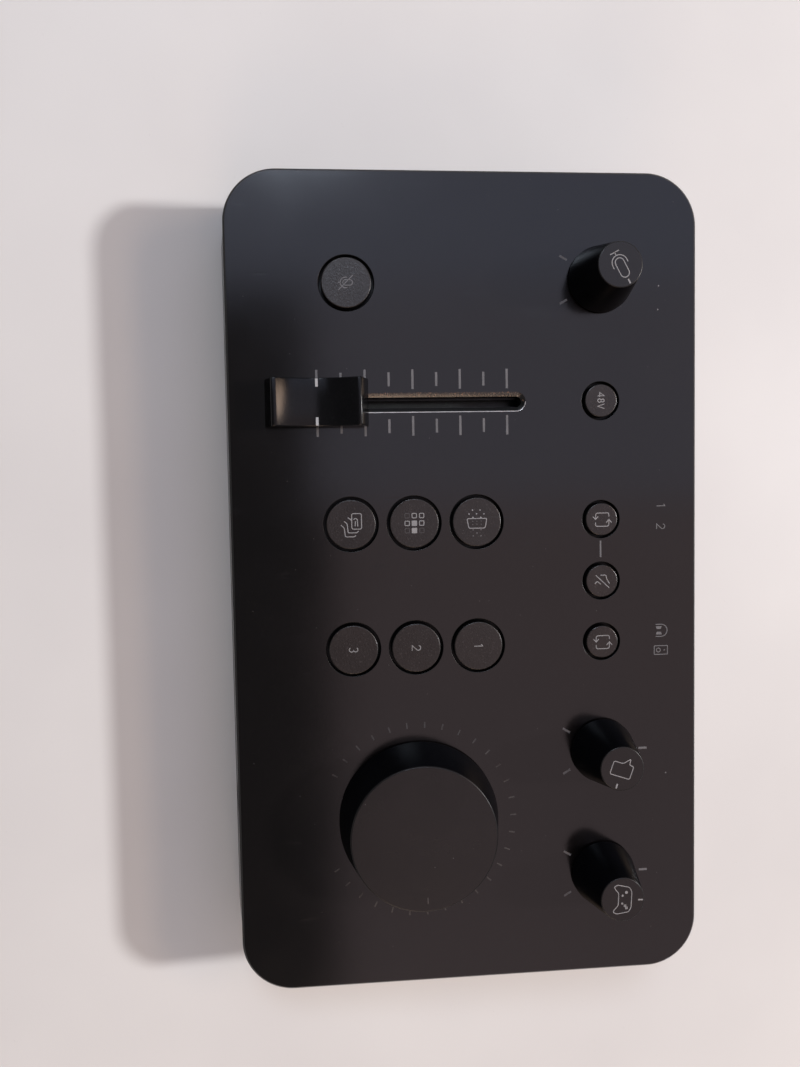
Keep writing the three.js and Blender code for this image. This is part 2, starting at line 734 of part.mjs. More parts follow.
function faderCap() {
  const saddleHalf = capTopLength / 2 - capLip;
  const profile = new THREE.Shape();
  profile.moveTo(-capLength / 2, capLift);
  profile.lineTo(capLength / 2, capLift);
  profile.lineTo(capLength / 2, capLift + capToe);
  profile.lineTo(capTopLength / 2, capHeight);
  for (let i = 0; i <= saddleSteps; i += 1) {
    const share = 1 - (i / saddleSteps) * 2;
    profile.lineTo(saddleHalf * share, capHeight - capSaddleDepth * (1 - share * share));
  }
  profile.lineTo(-capTopLength / 2, capHeight);
  profile.lineTo(-capLength / 2, capLift + capToe);
  profile.closePath();
  const roof = capHeight - capSaddleDepth - capWall;
  const outside = slabAlongX(profile, capWidth, capEdge);
  const inside = block(capWidth - capWall * 2, capTopLength - capWall * 2, capLift - overrun, roof);
  const socket = block(leverThickness + (seam + capSocketWall) * 2, leverWidth + (seam + capSocketWall) * 2,
    capLift + seam, roof + capWall / 2);
  const leverSlot = block(leverThickness + seam * 2, leverWidth + seam * 2, capLift - overrun, roof);
  return cut(cut(solidOf(outside), inside).add(solidOf(socket)), leverSlot);
}

// Sockets: each looks along +Y from the panel face at Y zero, and its middle is at Z zero

function micSocket() {
  const flangeShape = roundedRectangle(micFlangeWidth, micFlangeHeight, micFlangeCorner);
  const flange = prism(flangeShape, 0, micFlangeThickness).rotateX(-Math.PI / 2).translate(0, seam, 0);
  const face = seam + micFlangeThickness;
  const shell = barrel(micBarrelRadius, face - micBarrelDepth - micFlangeThickness, face, socketSides);
  const mouth = barrel(micGrooveRadius, face - micGrooveDepth, face + overrun, socketSides);
  const insertFar = face - micInsertRecess;
  const insert = barrel(micInsertRadius, face - micGrooveDepth - overrun, insertFar, socketSides);
  const bore = barrel(phoneBoreRadius, face - phoneBoreDepth, face + overrun, boreSides);
  const contacts = Array.from({ length: micContactCount }, (_, i) =>
    barrel(micContactRadius, face - micGrooveDepth, face + overrun, stemSides)
      .translate(0, 0, micContactCircle)
      .rotateY((i * Math.PI * 2) / micContactCount));
  return cut(cut(join(flange, shell), mouth).add(solidOf(insert)), bore, ...contacts);
}

function roundSocket(sizes) {
  const back = -rearPanelThickness - seam;
  const housing = block(sizes.bodyWidth, sizes.bodyDepth, -sizes.bodyHeight / 2, sizes.bodyHeight / 2)
    .translate(0, back - sizes.bodyDepth / 2, 0);
  const face = seam + sizes.nutHeight;
  const bushing = barrel(sizes.bushingRadius, back - overrun, face, boreSides);
  const nut = barrel(sizes.nutRadius, seam, face - seam, sizes.nutSides);
  const bore = barrel(sizes.boreRadius, face - sizes.boreDepth, face + overrun, boreSides);
  return cut(join(housing, bushing, nut), bore);
}

const phoneSocketSizes = {
  boreRadius: phoneBoreRadius,
  boreDepth: phoneBoreDepth,
  bushingRadius: phoneBushingRadius,
  nutRadius: phoneNutRadius,
  nutHeight: phoneNutHeight,
  nutSides: hexSides,
  bodyWidth: phoneBodyWidth,
  bodyHeight: phoneBodyHeight,
  bodyDepth: phoneBodyDepth,
};

const miniSocketSizes = {
  boreRadius: miniBoreRadius,
  boreDepth: miniBoreDepth,
  bushingRadius: miniBushingRadius,
  nutRadius: miniNutRadius,
  nutHeight: miniNutHeight,
  nutSides: boreSides,
  bodyWidth: miniBodyWidth,
  bodyHeight: miniBodyHeight,
  bodyDepth: miniBodyDepth,
};

function usbOutline(grow) {
  const height = usbHeight + grow * 2;
  return roundedRectangle(usbWidth + grow * 2, height, height / 2);
}

function usbSocket() {
  const back = -usbDepth;
  const shell = prism(usbOutline(0), back, 0, slotSteps).rotateX(-Math.PI / 2);
  const mouth = prism(usbOutline(-usbWall), back + usbHeight, overrun, slotSteps).rotateX(-Math.PI / 2);
  const tongue = new THREE.BoxGeometry(usbTongueWidth, usbDepth - usbHeight / 2, usbTongueHeight)
    .translate(0, (back - usbHeight / 2) / 2, 0);
  return cut(solidOf(shell), mouth).add(solidOf(tongue));
}

// Rear panel: a plate behind the case's window, with a hole for each socket

function roundHole(radius, sides, x, height) {
  return barrel(radius + seam, -overrun - rearPanelThickness, overrun, sides).translate(x, 0, height);
}

function usbHole(x) {
  const hole = prism(usbOutline(seam), -overrun - rearPanelThickness, overrun, slotSteps);
  return hole.rotateX(-Math.PI / 2).translate(x, 0, usbSocketHeight);
}

function rearPanel() {
  const plate = block(caseWidth - rearPanelMarginX * 2, rearPanelThickness,
    coverTop + seam, coverTop + rearPanelHeight).translate(0, -rearPanelThickness / 2, 0);
  return cut(
    solidOf(plate),
    roundHole(micBarrelRadius, socketSides, micColumn, micSocketHeight),
    roundHole(miniBushingRadius, boreSides, auxSocketX, miniSocketHeight),
    usbHole(usbSocketX),
    usbHole(usbSocketX + usbSocketPitch),
    roundHole(phoneBushingRadius, boreSides, speakerSocketX - speakerSocketPitch, phoneSocketHeight),
    roundHole(phoneBushingRadius, boreSides, speakerSocketX, phoneSocketHeight),
  );
}

// Assembly

addPiece(assembly, 'case_shell', caseShell(), caseBlack);
addPiece(assembly, 'bottom_cover', bottomCover(), coverBlack);
addPiece(assembly, 'rear_panel', rearPanel(), rearBlack, 0, rearPanelFace);
addPiece(panelGroup, 'top_panel', topPanel(), panelBlack);

const cornerNames = ['front_left', 'front_right', 'rear_left', 'rear_right'];
footPlaces.forEach(([x, y], i) => addPiece(assembly, `foot_${cornerNames[i]}`, foot(), rubberBlack, x, y));
corners(bossX, bossY).forEach(([x, y], i) =>
  addPiece(assembly, `case_screw_${cornerNames[i]}`, caseScrew(), blackSteel, x, y));

const mainBoard = board(mainBoardWidth, -mainBoardDepth / 2, mainBoardDepth / 2,
  mainBoardBottom, mainPostPlaces);
addPiece(assembly, 'main_board', mainBoard, boardGreen);
const controlBoard = board(controlBoardHalf * 2, controlBoardFront, controlBoardBack,
  controlBoardTop - boardThickness, controlPostPlaces);
addPiece(panelGroup, 'control_board', controlBoard, boardGreen);
addPiece(assembly, 'board_ribbon', boardRibbon(), ribbonGrey);

addPiece(assembly, 'mic_socket', micSocket(), socketBlack, micColumn, rearPanelFace, micSocketHeight);
addPiece(assembly, 'aux_socket', roundSocket(miniSocketSizes), socketBlack,
  auxSocketX, rearPanelFace, miniSocketHeight);
addPiece(assembly, 'usb_socket_1', usbSocket(), steel, usbSocketX, rearPanelFace, usbSocketHeight);
addPiece(assembly, 'usb_socket_2', usbSocket(), steel,
  usbSocketX + usbSocketPitch, rearPanelFace, usbSocketHeight);
addPiece(assembly, 'speaker_socket_left', roundSocket(phoneSocketSizes), socketBlack,
  speakerSocketX - speakerSocketPitch, rearPanelFace, phoneSocketHeight);
addPiece(assembly, 'speaker_socket_right', roundSocket(phoneSocketSizes), socketBlack,
  speakerSocketX, rearPanelFace, phoneSocketHeight);
const headsetSocket = addPiece(assembly, 'headset_socket', roundSocket(miniSocketSizes), socketBlack,
  headsetSocketX, headsetSocketY, miniSocketHeight);
headsetSocket.rotation.z = Math.PI;

for (const [name, x, y, large] of keyPlan) {
  const place = addGroup(panelGroup, x, y);
  const cap = large
    ? key(largeKeyRadius, largeKeyHoleRadius, largeKeySides)
    : key(smallKeyRadius, smallKeyHoleRadius, smallKeySides);
  addPiece(place, `${name}_key`, cap, keyRubber);
  addPiece(place, `${name}_switch`, keySwitch(), socketBlack);
}

for (const [name, x, y, angle, large] of knobPlan) {
  const top = large ? largeKnobTop : smallKnobTop;
  const still = addGroup(panelGroup, x, y);
  const turning = addGroup(panelGroup, x, y, angle);
  const pot = large
    ? potentiometer(largePotWidth, largePotDepth)
    : potentiometer(smallPotWidth, smallPotDepth);
  const cap = large
    ? knob(largeKnobRadius, largeKnobTopRadius, top, largeKnobRoof, largeKnobSides, knobRibCount)
    : knob(smallKnobRadius, smallKnobTopRadius, top, smallKnobRoof, smallKnobSides, 0);
  const shaftTop = top - knobCrown - seam;
  addPiece(still, `${name}_pot`, pot, steel);
  const spindle = shaft(shaftTop, shaftRadius, controlBoardTop + seam * 2 + potFloor);
  addPiece(turning, `${name}_shaft`, spindle, steel);
  addPiece(turning, `${name}_knob`, cap, knobBlack);
}

const faderPlace = addGroup(panelGroup, faderColumn, faderMiddle);
const faderSlide = addGroup(faderPlace, 0, -faderTravel / 2);
addPiece(faderPlace, 'fader_frame', faderFrame(), blackSteel);
addPiece(faderPlace, 'fader_guide_rod', guideRod(), steel);
addPiece(faderSlide, 'fader_carriage', faderCarriage(), socketBlack);
addPiece(faderSlide, 'fader_cap', faderCap(), capGloss);

export default assembly;
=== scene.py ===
import json
import math

import bmesh
import bpy
from mathutils import Matrix, Quaternion, Vector
from mathutils.geometry import tessellate_polygon


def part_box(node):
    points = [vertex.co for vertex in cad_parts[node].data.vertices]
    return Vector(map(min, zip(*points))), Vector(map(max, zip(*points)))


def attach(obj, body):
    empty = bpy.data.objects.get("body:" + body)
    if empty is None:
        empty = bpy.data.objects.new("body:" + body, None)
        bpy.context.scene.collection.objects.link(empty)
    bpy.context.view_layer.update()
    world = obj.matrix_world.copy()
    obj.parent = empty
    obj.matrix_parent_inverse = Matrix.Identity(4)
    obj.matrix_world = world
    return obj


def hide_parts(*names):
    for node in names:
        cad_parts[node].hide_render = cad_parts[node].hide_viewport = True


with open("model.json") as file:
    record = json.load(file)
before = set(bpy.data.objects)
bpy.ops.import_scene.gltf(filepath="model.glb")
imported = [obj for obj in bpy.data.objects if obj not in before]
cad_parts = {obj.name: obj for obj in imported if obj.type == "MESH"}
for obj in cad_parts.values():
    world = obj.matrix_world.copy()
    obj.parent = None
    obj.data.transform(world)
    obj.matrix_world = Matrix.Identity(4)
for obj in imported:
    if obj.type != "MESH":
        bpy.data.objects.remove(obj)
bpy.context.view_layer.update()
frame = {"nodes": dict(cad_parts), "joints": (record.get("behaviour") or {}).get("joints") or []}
print("frame loaded,", len(frame["nodes"]), "nodes")

mm = 0.001
tiny = 0.001 * mm                        # what is shorter counts as nothing
scene = bpy.context.scene


def at(x, y, z=0.0):
    return Matrix.Translation((x, y, z))


def addObject(name, data):
    made = bpy.data.objects.new(name, data)
    scene.collection.objects.link(made)
    return made


# Node helpers, shared by the world, the materials and the geometry trees

def plug(tree, value, socket):
    if isinstance(value, bpy.types.NodeSocket):
        tree.links.new(value, socket)
    else:
        socket.default_value = value


def addNode(tree, kind, inputs=None, output=0, **attributes):
    node = tree.nodes.new(kind)
    for key, value in attributes.items():
        setattr(node, key, value)
    for key, value in (inputs or {}).items():
        plug(tree, value, node.inputs[key])
    return node.outputs[output]


def mathNode(tree, operation, *values):
    return addNode(tree, "ShaderNodeMath", dict(enumerate(values)), operation=operation)


def spread(tree, value, low, high, reach=(0.3, 0.7)):
    return addNode(tree, "ShaderNodeMapRange", {
        "Value": value, "From Min": reach[0], "From Max": reach[1], "To Min": low, "To Max": high})


# Camera and light

cameraSettings = {
    "place": Vector((-28.2, -72.4, 273.9)) * mm, "target": Vector((-14.8, -19.7, 40.0)) * mm,
    "roll": math.radians(102.9), "lens": 29.39,    # for a long side of 36 mm
    "near": 5 * mm, "far": 20.0,
}

lightSettings = {
    "worldColour": (0.90, 0.90, 0.93, 1.0),
    "horizon": 0.50, "overhead": 0.10,   # the surrounding wall is paler than the dark ceiling
    "rise": (0.05, 0.55),
    "lamps": {                           # place, size, watts, colour; aimed at the middle
        "keyLamp": ((-0.15, 1.68, 1.52), (0.20, 0.20), 43.0, (0.97, 0.97, 1.0)),
        "rearLamp": ((-0.19, 0.74, 1.00), (0.44, 0.22), 2.8, (1.0, 0.70, 0.50)),
        "sideLamp": ((0.90, -0.12, 0.70), (0.46, 0.46), 2.6, (1.0, 0.72, 0.53)),
        "coolLamp": ((-0.68, -0.22, 1.05), (0.28, 0.28), 4.0, (0.76, 0.86, 1.0)),
    },
    "ceiling": {                         # wide boxes facing straight down
        "coolBox": ((-0.725, 0.05, 1.20), (0.75, 1.10), 2.8, (0.70, 0.75, 1.0)),
        "middleBox": ((-0.175, 0.33, 1.20), (0.35, 1.10), 1.0, (0.86, 0.82, 1.0)),
        "warmBox": ((0.525, 0.36, 1.20), (1.05, 1.10), 2.5, (1.0, 0.77, 0.80)),
    },
}


def aimAt(thing, place, target, roll=0.0):
    thing.location = place
    thing.rotation_mode = "QUATERNION"
    aim = (target - place).to_track_quat("-Z", "Y")
    thing.rotation_quaternion = aim @ Quaternion((0, 0, 1), roll)


def makeCamera(spec):
    camera = addObject("camera", bpy.data.cameras.new("camera"))
    camera.data.lens = spec["lens"]
    camera.data.clip_start, camera.data.clip_end = spec["near"], spec["far"]
    aimAt(camera, spec["place"], spec["target"], spec["roll"])
    scene.camera = camera


def makeLights(spec):
    scene.world = bpy.data.worlds.new("studio")
    scene.world.use_nodes = True
    tree = scene.world.node_tree
    background = tree.nodes["Background"].inputs
    background["Color"].default_value = spec["worldColour"]
    direction = addNode(tree, "ShaderNodeTexCoord", output="Generated")
    height = addNode(tree, "ShaderNodeSeparateXYZ", {0: direction}, "Z")
    plug(tree, spread(tree, height, spec["horizon"], spec["overhead"], spec["rise"]), background["Strength"])
    for name, (place, size, watts, colour) in {**spec["lamps"], **spec["ceiling"]}.items():
        lamp = addObject(name, bpy.data.lights.new(name, "AREA"))
        lamp.data.shape = "ELLIPSE" if name in spec["lamps"] else "RECTANGLE"
        lamp.data.size, lamp.data.size_y = size
        lamp.data.energy = watts
        lamp.data.color = colour
        lamp.location = place
        if name in spec["lamps"]:
            aimAt(lamp, Vector(place), Vector())


makeCamera(cameraSettings)
makeLights(lightSettings)
scene.view_settings.view_transform = "Standard"
print("camera and lights made")


# Materials: mottled colour, uneven gloss and a grain of their own. Sizes and depths are in millimetres and a
# lone number is a grey. A speck is a colour, size and share; a reach is the stretch of noise that counts.

wearSettings = {
    "specular": 0.5, "speckReach": (0.62, 0.72), "smudgeReach": (0.15, 0.85),
    "dust": 0.35, "dustPitch": 4.5, "dustColour": (0.22, 0.21, 0.20), "dustReach": (0.018, 0.032),
    "scratch": 0.5, "hairline": 2.5, "hairStretch": (1, 0.06, 1), "hairReach": (0.74, 0.76),
    "scratchGloss": 0.12, "scratchDepth": 0.01,
}

plasticSettings = {
    "panelPlastic": {
        "dark": (0.0021, 0.0017, 0.0018), "light": (0.0034, 0.0026, 0.0026), "cloud": 60, "smudge": 18,
        "speck": ((0.018, 0.015, 0.014), 0.28, 0.35),
        "rough": (0.11, 0.16), "grain": (0.16, 0.003), "scratch": 0.35, "dust": 0.2},
    "panelEdge": {
        "like": "panelPlastic", "dark": 0.003, "light": 0.005, "speck": (0.02, 0.28, 0.35),
        "rough": (0.30, 0.36), "specular": 0.2},
    # the copper specks on the slot's edge are a painted warm reflection
    "slotEdge": {
        "like": "panelPlastic", "smudge": 2, "speck": ((0.20, 0.10, 0.055), 0.4, 0.9),
        "rough": (0.20, 0.32), "specular": 0.8, "grain": (0.4, 0.05)},
    # a light grey band along one side of the slot's edge: a painted highlight
    "slotRim": {
        "like": "panelPlastic", "dark": (0.30, 0.29, 0.29), "light": (0.42, 0.41, 0.41), "cloud": 2,
        "speck": (0.10, 0.5, 0.8)},
    "casePlastic": {
        "dark": (0.010, 0.010, 0.011), "light": (0.015, 0.0148, 0.0155), "cloud": 40, "smudge": 15,
        "speck": (0.04, 0.3, 0.2), "rough": (0.26, 0.36), "grain": (0.2, 0.008)},
    "coverPlastic": {
        "dark": (0.016, 0.016, 0.017), "light": (0.023, 0.023, 0.024), "cloud": 30, "smudge": 12,
        "speck": (0.04, 0.5, 0.4), "rough": (0.5, 0.62), "grain": (0.45, 0.05)},
    "rearCoat": {
        "dark": (0.018, 0.018, 0.019), "light": (0.024, 0.024, 0.025), "cloud": 25, "smudge": 10,
        "speck": ((0.05, 0.05, 0.052), 0.35, 0.5),
        "rough": (0.42, 0.55), "grain": (0.35, 0.03)},
    "keyPlastic": {
        "dark": (0.0085, 0.0058, 0.0050), "light": (0.0125, 0.0088, 0.0076), "cloud": 7, "smudge": 5,
        "speck": ((0.045, 0.038, 0.036), 0.5, 0.45),
        "rough": (0.31, 0.39), "specular": 0.42, "grain": (0.52, 0.045)},
    "smallKeyPlastic": {"like": "keyPlastic", "rough": (0.24, 0.31)},
    # darker and bluer than the knob's top: painted shade on the knob's sides
    "knobSide": {
        "dark": (0.0018, 0.0018, 0.0024), "light": (0.0028, 0.0028, 0.0036), "cloud": 8, "smudge": 6,
        "speck": ((0.010, 0.010, 0.011), 0.25, 0.15),
        "rough": (0.28, 0.36), "specular": 0.05, "grain": (0.22, 0.003), "dust": 0.1},
    # lighter than the knob's top: a painted highlight along the knob's top edge
    "knobRim": {
        "like": "knobSide", "dark": (0.007, 0.006, 0.006), "light": (0.010, 0.009, 0.009), "specular": 0.22},
    "knobTop": {
        "dark": (0.0042, 0.0034, 0.0034), "light": (0.0064, 0.0050, 0.0050), "cloud": 12, "smudge": 9,
        "speck": ((0.022, 0.019, 0.018), 0.24, 0.35),
        "rough": (0.22, 0.30), "specular": 0.4, "grain": (0.2, 0.006)},
    "capGloss": {
        "dark": (0.0022, 0.0022, 0.0026), "light": (0.0034, 0.0034, 0.0038), "cloud": 10, "smudge": 6,
        "speck": ((0.02, 0.018, 0.017), 0.16, 0.4),
        "rough": (0.12, 0.17), "specular": 0.22, "grain": (0.3, 0.014), "dust": 0.15},
    "footRubber": {
        "dark": 0.010, "light": (0.017, 0.017, 0.016), "cloud": 4, "smudge": 3,
        "speck": ((0.05, 0.05, 0.045), 0.3, 0.5),
        "rough": (0.72, 0.85), "specular": 0.3, "grain": (0.3, 0.03)},
    "socketPlastic": {
        "dark": (0.011, 0.011, 0.012), "light": (0.016, 0.016, 0.017), "cloud": 6, "smudge": 5,
        "speck": (0.04, 0.2, 0.3), "rough": (0.32, 0.45), "grain": (0.15, 0.008)},
    "ribbonPlastic": {
        "dark": (0.50, 0.50, 0.48), "light": (0.62, 0.62, 0.60), "cloud": 3, "smudge": 4,
        "speck": ((0.35, 0.35, 0.36), 0.6, 0.4),
        "rough": (0.40, 0.55), "grain": (0.5, 0.02)},
    "boardLaminate": {
        "dark": (0.004, 0.006, 0.005), "light": (0.008, 0.012, 0.009), "cloud": 5, "smudge": 8,
        "speck": ((0.02, 0.03, 0.022), 1.1, 0.6),
        "rough": (0.28, 0.42), "grain": (0.8, 0.02)},
    "printInk": {
        "dark": (0.17, 0.165, 0.165), "light": (0.23, 0.223, 0.22), "cloud": 3, "smudge": 2,
        "speck": ((0.11, 0.105, 0.105), 0.12, 0.7),
        "rough": (0.5, 0.6), "grain": (0.1, 0.004)},
    "tickInk": {
        "like": "printInk", "dark": (0.085, 0.082, 0.084), "light": (0.115, 0.11, 0.112),
        "speck": (0.05, 0.12, 0.7)},
    "faintInk": {
        "like": "printInk", "dark": (0.022, 0.019, 0.019), "light": (0.040, 0.035, 0.034), "cloud": 1.5,
        "speck": ((0.010, 0.008, 0.008), 0.4, 0.7)},
    "capMark": {"like": "printInk", "dark": 0.30, "light": 0.38, "speck": (0.2, 0.12, 0.7)},
    "labelFilm": {
        "dark": (0.085, 0.085, 0.088), "light": (0.11, 0.11, 0.113), "cloud": 12, "smudge": 9,
        "speck": (0.16, 0.3, 0.3), "rough": (0.42, 0.55), "grain": (0.25, 0.006)},
    "floorSurface": {
        "dark": (0.56, 0.545, 0.525), "light": (0.60, 0.585, 0.56), "cloud": 90, "smudge": 70,
        "speck": ((0.57, 0.55, 0.54), 0.8, 0.3),
        "rough": (0.38, 0.46), "specular": 0.10, "grain": (0.6, 0.01)},
}

metalSettings = {
    "brightSteel": {
        "dark": (0.50, 0.50, 0.49), "light": (0.66, 0.66, 0.64), "cloud": 3, "metallic": 1.0,
        "line": 0.4, "stretch": (1, 1, 6), "depth": 0.006, "rough": (0.24, 0.38)},
    "blackSteel": {
        "dark": (0.012, 0.012, 0.013), "light": (0.026, 0.026, 0.028), "cloud": 2, "metallic": 0.6,
        "line": 0.3, "stretch": (4, 1, 1), "depth": 0.006, "rough": (0.32, 0.46)},
    "contactGold": {
        "dark": (0.62, 0.44, 0.20), "light": (0.78, 0.58, 0.28), "cloud": 1, "metallic": 1.0,
        "line": 0.2, "stretch": (1, 4, 1), "depth": 0.003, "rough": (0.22, 0.34)},
}


def startMaterial(name):
    material = bpy.data.materials.new(name)
    material.use_nodes = True
    tree = material.node_tree
    return material, tree, addNode(tree, "ShaderNodeTexCoord", output="Object")


def finishMaterial(material, inputs):
    shader = material.node_tree.nodes["Principled BSDF"]
    for key, value in inputs.items():
        plug(material.node_tree, value, shader.inputs[key])
    return material


def noiseAt(tree, place, size, detail=2.0, roughness=0.5, stretch=None):
    if stretch:
        place = addNode(tree, "ShaderNodeMapping", {"Vector": place, "Scale": stretch})
    return addNode(tree, "ShaderNodeTexNoise", {
        "Vector": place, "Scale": 1 / (size * mm), "Detail": detail, "Roughness": roughness})


def asColour(value):
    if isinstance(value, float):
        value = (value, value, value)
    return (*value, 1) if isinstance(value, tuple) else value


def blendColours(tree, share, first, second):
    inputs = {0: share, 6: asColour(first), 7: asColour(second)}
    return addNode(tree, "ShaderNodeMix", inputs, 2, data_type="RGBA")


def bumpFrom(tree, height, depth, **normal):
    return addNode(tree, "ShaderNodeBump", {"Height": height, "Distance": depth * mm, **normal}, "Normal")


def mouldedPlastic(name, own):
    spec = {**wearSettings, **plasticSettings.get(own.get("like"), {}), **own}
    material, tree, place = startMaterial(name)
    cloud = noiseAt(tree, place, spec["cloud"], 3.0)
    colour = blendColours(tree, spread(tree, cloud, 0, 1), spec["dark"], spec["light"])
    speckColour, speckSize, speckShare = spec["speck"]
    speck = spread(tree, noiseAt(tree, place, speckSize, 1.0), 0, speckShare, spec["speckReach"])
    colour = blendColours(tree, speck, colour, speckColour)
    fleck = addNode(tree, "ShaderNodeTexVoronoi", {"Vector": place, "Scale": 1 / (spec["dustPitch"] * mm)})
    fleckShare = spread(tree, fleck, spec["dust"], 0, spec["dustReach"])
    colour = blendColours(tree, fleckShare, colour, spec["dustColour"])
    gloss = spread(tree, noiseAt(tree, place, spec["smudge"]), *spec["rough"], spec["smudgeReach"])
    hairline = noiseAt(tree, place, spec["hairline"], 1.0, 0.5, spec["hairStretch"])
    scratch = spread(tree, hairline, 0, spec["scratch"], spec["hairReach"])
    gloss = mathNode(tree, "ADD", gloss, mathNode(tree, "MULTIPLY", scratch, spec["scratchGloss"]))
    grainSize, grainDepth = spec["grain"]
    relief = bumpFrom(tree, noiseAt(tree, place, grainSize, 2.0, 0.6), grainDepth)
    furrow = mathNode(tree, "MULTIPLY", scratch, -1.0)
    return finishMaterial(material, {
        "Base Color": colour, "Roughness": gloss, "Specular IOR Level": spec["specular"],
        "Normal": bumpFrom(tree, furrow, spec["scratchDepth"], Normal=relief)})


def platedMetal(name, spec):
    material, tree, place = startMaterial(name)
    cloud = noiseAt(tree, place, spec["cloud"], 3.0)
    lines = noiseAt(tree, place, spec["line"], 2.0, 0.6, spec["stretch"])
    return finishMaterial(material, {
        "Base Color": blendColours(tree, spread(tree, cloud, 0, 1), spec["dark"], spec["light"]),
        "Metallic": spec["metallic"], "Roughness": spread(tree, lines, *spec["rough"]),
        "Normal": bumpFrom(tree, lines, spec["depth"])})


finishes = {name: mouldedPlastic(name, own) for name, own in plasticSettings.items()}
finishes.update({name: platedMetal(name, spec) for name, spec in metalSettings.items()})
print("materials made,", len(finishes))


# The panel's own axes, read from a dial's joint: X right, Y up the slope, Z out of the face

joints = {joint["name"]: joint for joint in frame["joints"]}
dialAxis = Vector(joints["mic_turn"]["axis"])
panelTilt = math.atan2(-dialAxis.y, dialAxis.z)
panelPlace = at(*joints["mic_turn"]["pos_m"]) @ Matrix.Rotation(panelTilt, 4, "X")


def panelPoints(node):
    back = panelPlace.inverted()
    return [back @ vertex.co for vertex in frame["nodes"][node].data.vertices]


def measure(low, high):
    return low, high, (low + high) / 2, high - low


def panelBox(node):
    axes = list(zip(*panelPoints(node)))
    return measure(Vector([min(axis) for axis in axes]), Vector([max(axis) for axis in axes]))


def worldBox(node):
    return measure(*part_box(node))


def dialSpot(name):
    return panelPlace.inverted() @ Vector(joints[name + "_turn"]["pos_m"])


panelLow, _, panelMiddle, _ = panelBox("top_panel")
panelPlace = panelPlace @ at(panelMiddle.x, panelLow.y)
rearFacing = Matrix.Rotation(-math.pi / 2, 4, "X") @ Matrix.Diagonal((1, -1, 1, 1))
frontFacing = Matrix.Rotation(math.pi / 2, 4, "X")


# Mesh helpers: an outline is a function that gives its points, grown by some distance

def arcPoints(x, y, radius, start, end, steps):
    angles = [math.radians(start + (end - start) * i / steps) for i in range(steps + 1)]
    return [(x + radius * math.cos(a), y + radius * math.sin(a)) for a in angles]


def circleOutline(radius, steps, x=0.0, y=0.0):
    def outline(grow):
        angles = [math.tau * i / steps for i in range(steps)]
        return [(x + (radius + grow) * math.cos(a), y + (radius + grow) * math.sin(a)) for a in angles]
    return outline


def roundedOutline(width, length, radius, steps, x=0.0, y=0.0):
    middleX, middleY = width / 2 - radius, length / 2 - radius

    def outline(grow):
        points = []
        for corner, (sideX, sideY) in enumerate([(1, 1), (-1, 1), (-1, -1), (1, -1)]):
            middle, start = (x + sideX * middleX, y + sideY * middleY), 90 * corner
            for point in arcPoints(*middle, radius + grow, start, start + 90, steps):
                if not points or math.dist(point, points[-1]) > tiny:
                    points.append(point)
        if math.dist(points[0], points[-1]) < tiny:
            points.pop()
        return points
    return outline


def grown(outline, more):
    return lambda grow: outline(grow + more)


def edgeRings(edge, steps):
    if isinstance(edge, list):
        return edge
    angles = [math.pi / 2 * i / steps for i in range(steps + 1)] if edge else [0]
    return [(edge * (1 - math.sin(a)), edge * (1 - math.cos(a))) for a in angles]


def bridge(bm, first, second, smooth=True, paint=0):
    count = len(first)
    for i in range(count):
        after = (i + 1) % count
        corners = list(dict.fromkeys([first[i], first[after], second[after], second[i]]))
        if len(corners) > 2:
            face = bm.faces.new(corners)
            face.smooth = smooth
            face.material_index = paint


def bridgeAll(bm, rings, smooth=True):
    for first, second in zip(rings, rings[1:]):
        bridge(bm, first, second, smooth)


def addRing(bm, points, z, place=Matrix()):
    return [bm.verts.new(place @ Vector((x, y, z))) for x, y in points]


# Each outline's edge is a radius or a list of rings; paints holds its top edge's and its wall's material
def addPlate(bm, outline, holes, low, high, edge=0.0, holeEdge=0.0, steps=3, place=Matrix(), paints=None):
    tops, bottoms = [], []
    sizes = [edge, *(holeEdge if isinstance(holeEdge, list) else [holeEdge] * len(holes))]
    paints = paints or [(0, 0)] * len(sizes)
    for number, shape in enumerate([outline, *holes]):
        size, inward = sizes[number], 1 if number else -1
        topRings = [(inset, high - drop) for inset, drop in edgeRings(size, steps if number else 1)]
        footRings = [(0, low)] if number or not size else [(0, low + size), (size, low)]
        rings = [addRing(bm, shape(inset * inward), z, place) for inset, z in topRings + footRings]
        for band, (first, second) in enumerate(zip(rings, rings[1:])):
            bridge(bm, first, second, paint=paints[number][0 if band < len(topRings) - 1 else 1])
        tops.append(rings[0])
        bottoms.append(rings[-1])
    back = place.inverted()
    for loops in (tops, bottoms):
        flat = [vertex for loop in loops for vertex in loop]
        for corners in tessellate_polygon([[back @ v.co for v in loop] for loop in loops]):
            bm.faces.new([flat[i] for i in corners]).smooth = False


# The profile is a list of (radius, height) pairs; it closes on itself unless it starts on the axis
def addLathe(bm, profile, steps, place=Matrix(), paint=None):
    rings = []
    for radius, z in profile:
        if radius < tiny:
            rings.append([bm.verts.new(place @ Vector((0, 0, z)))] * steps)
        else:
            rings.append(addRing(bm, circleOutline(radius, steps)(0), z, place))
    pairs = list(zip(range(len(rings)), range(1, len(rings))))
    if profile[0][0] > tiny:
        pairs.append((len(rings) - 1, 0))
    for first, second in pairs:
        flat = abs(profile[first][1] - profile[second][1]) < tiny
        finish = paint(profile[first], profile[second]) if paint else 0
        bridge(bm, rings[first], rings[second], not flat, finish)


def addSleeve(bm, inner, outer, low, high, steps, place=Matrix()):
    addLathe(bm, [(inner, low), (outer, low), (outer, high), (inner, high)], steps, place)


def addPost(bm, x, y, radius, low, high, steps):
    addSleeve(bm, 0, radius, low, high, steps, at(x, y))


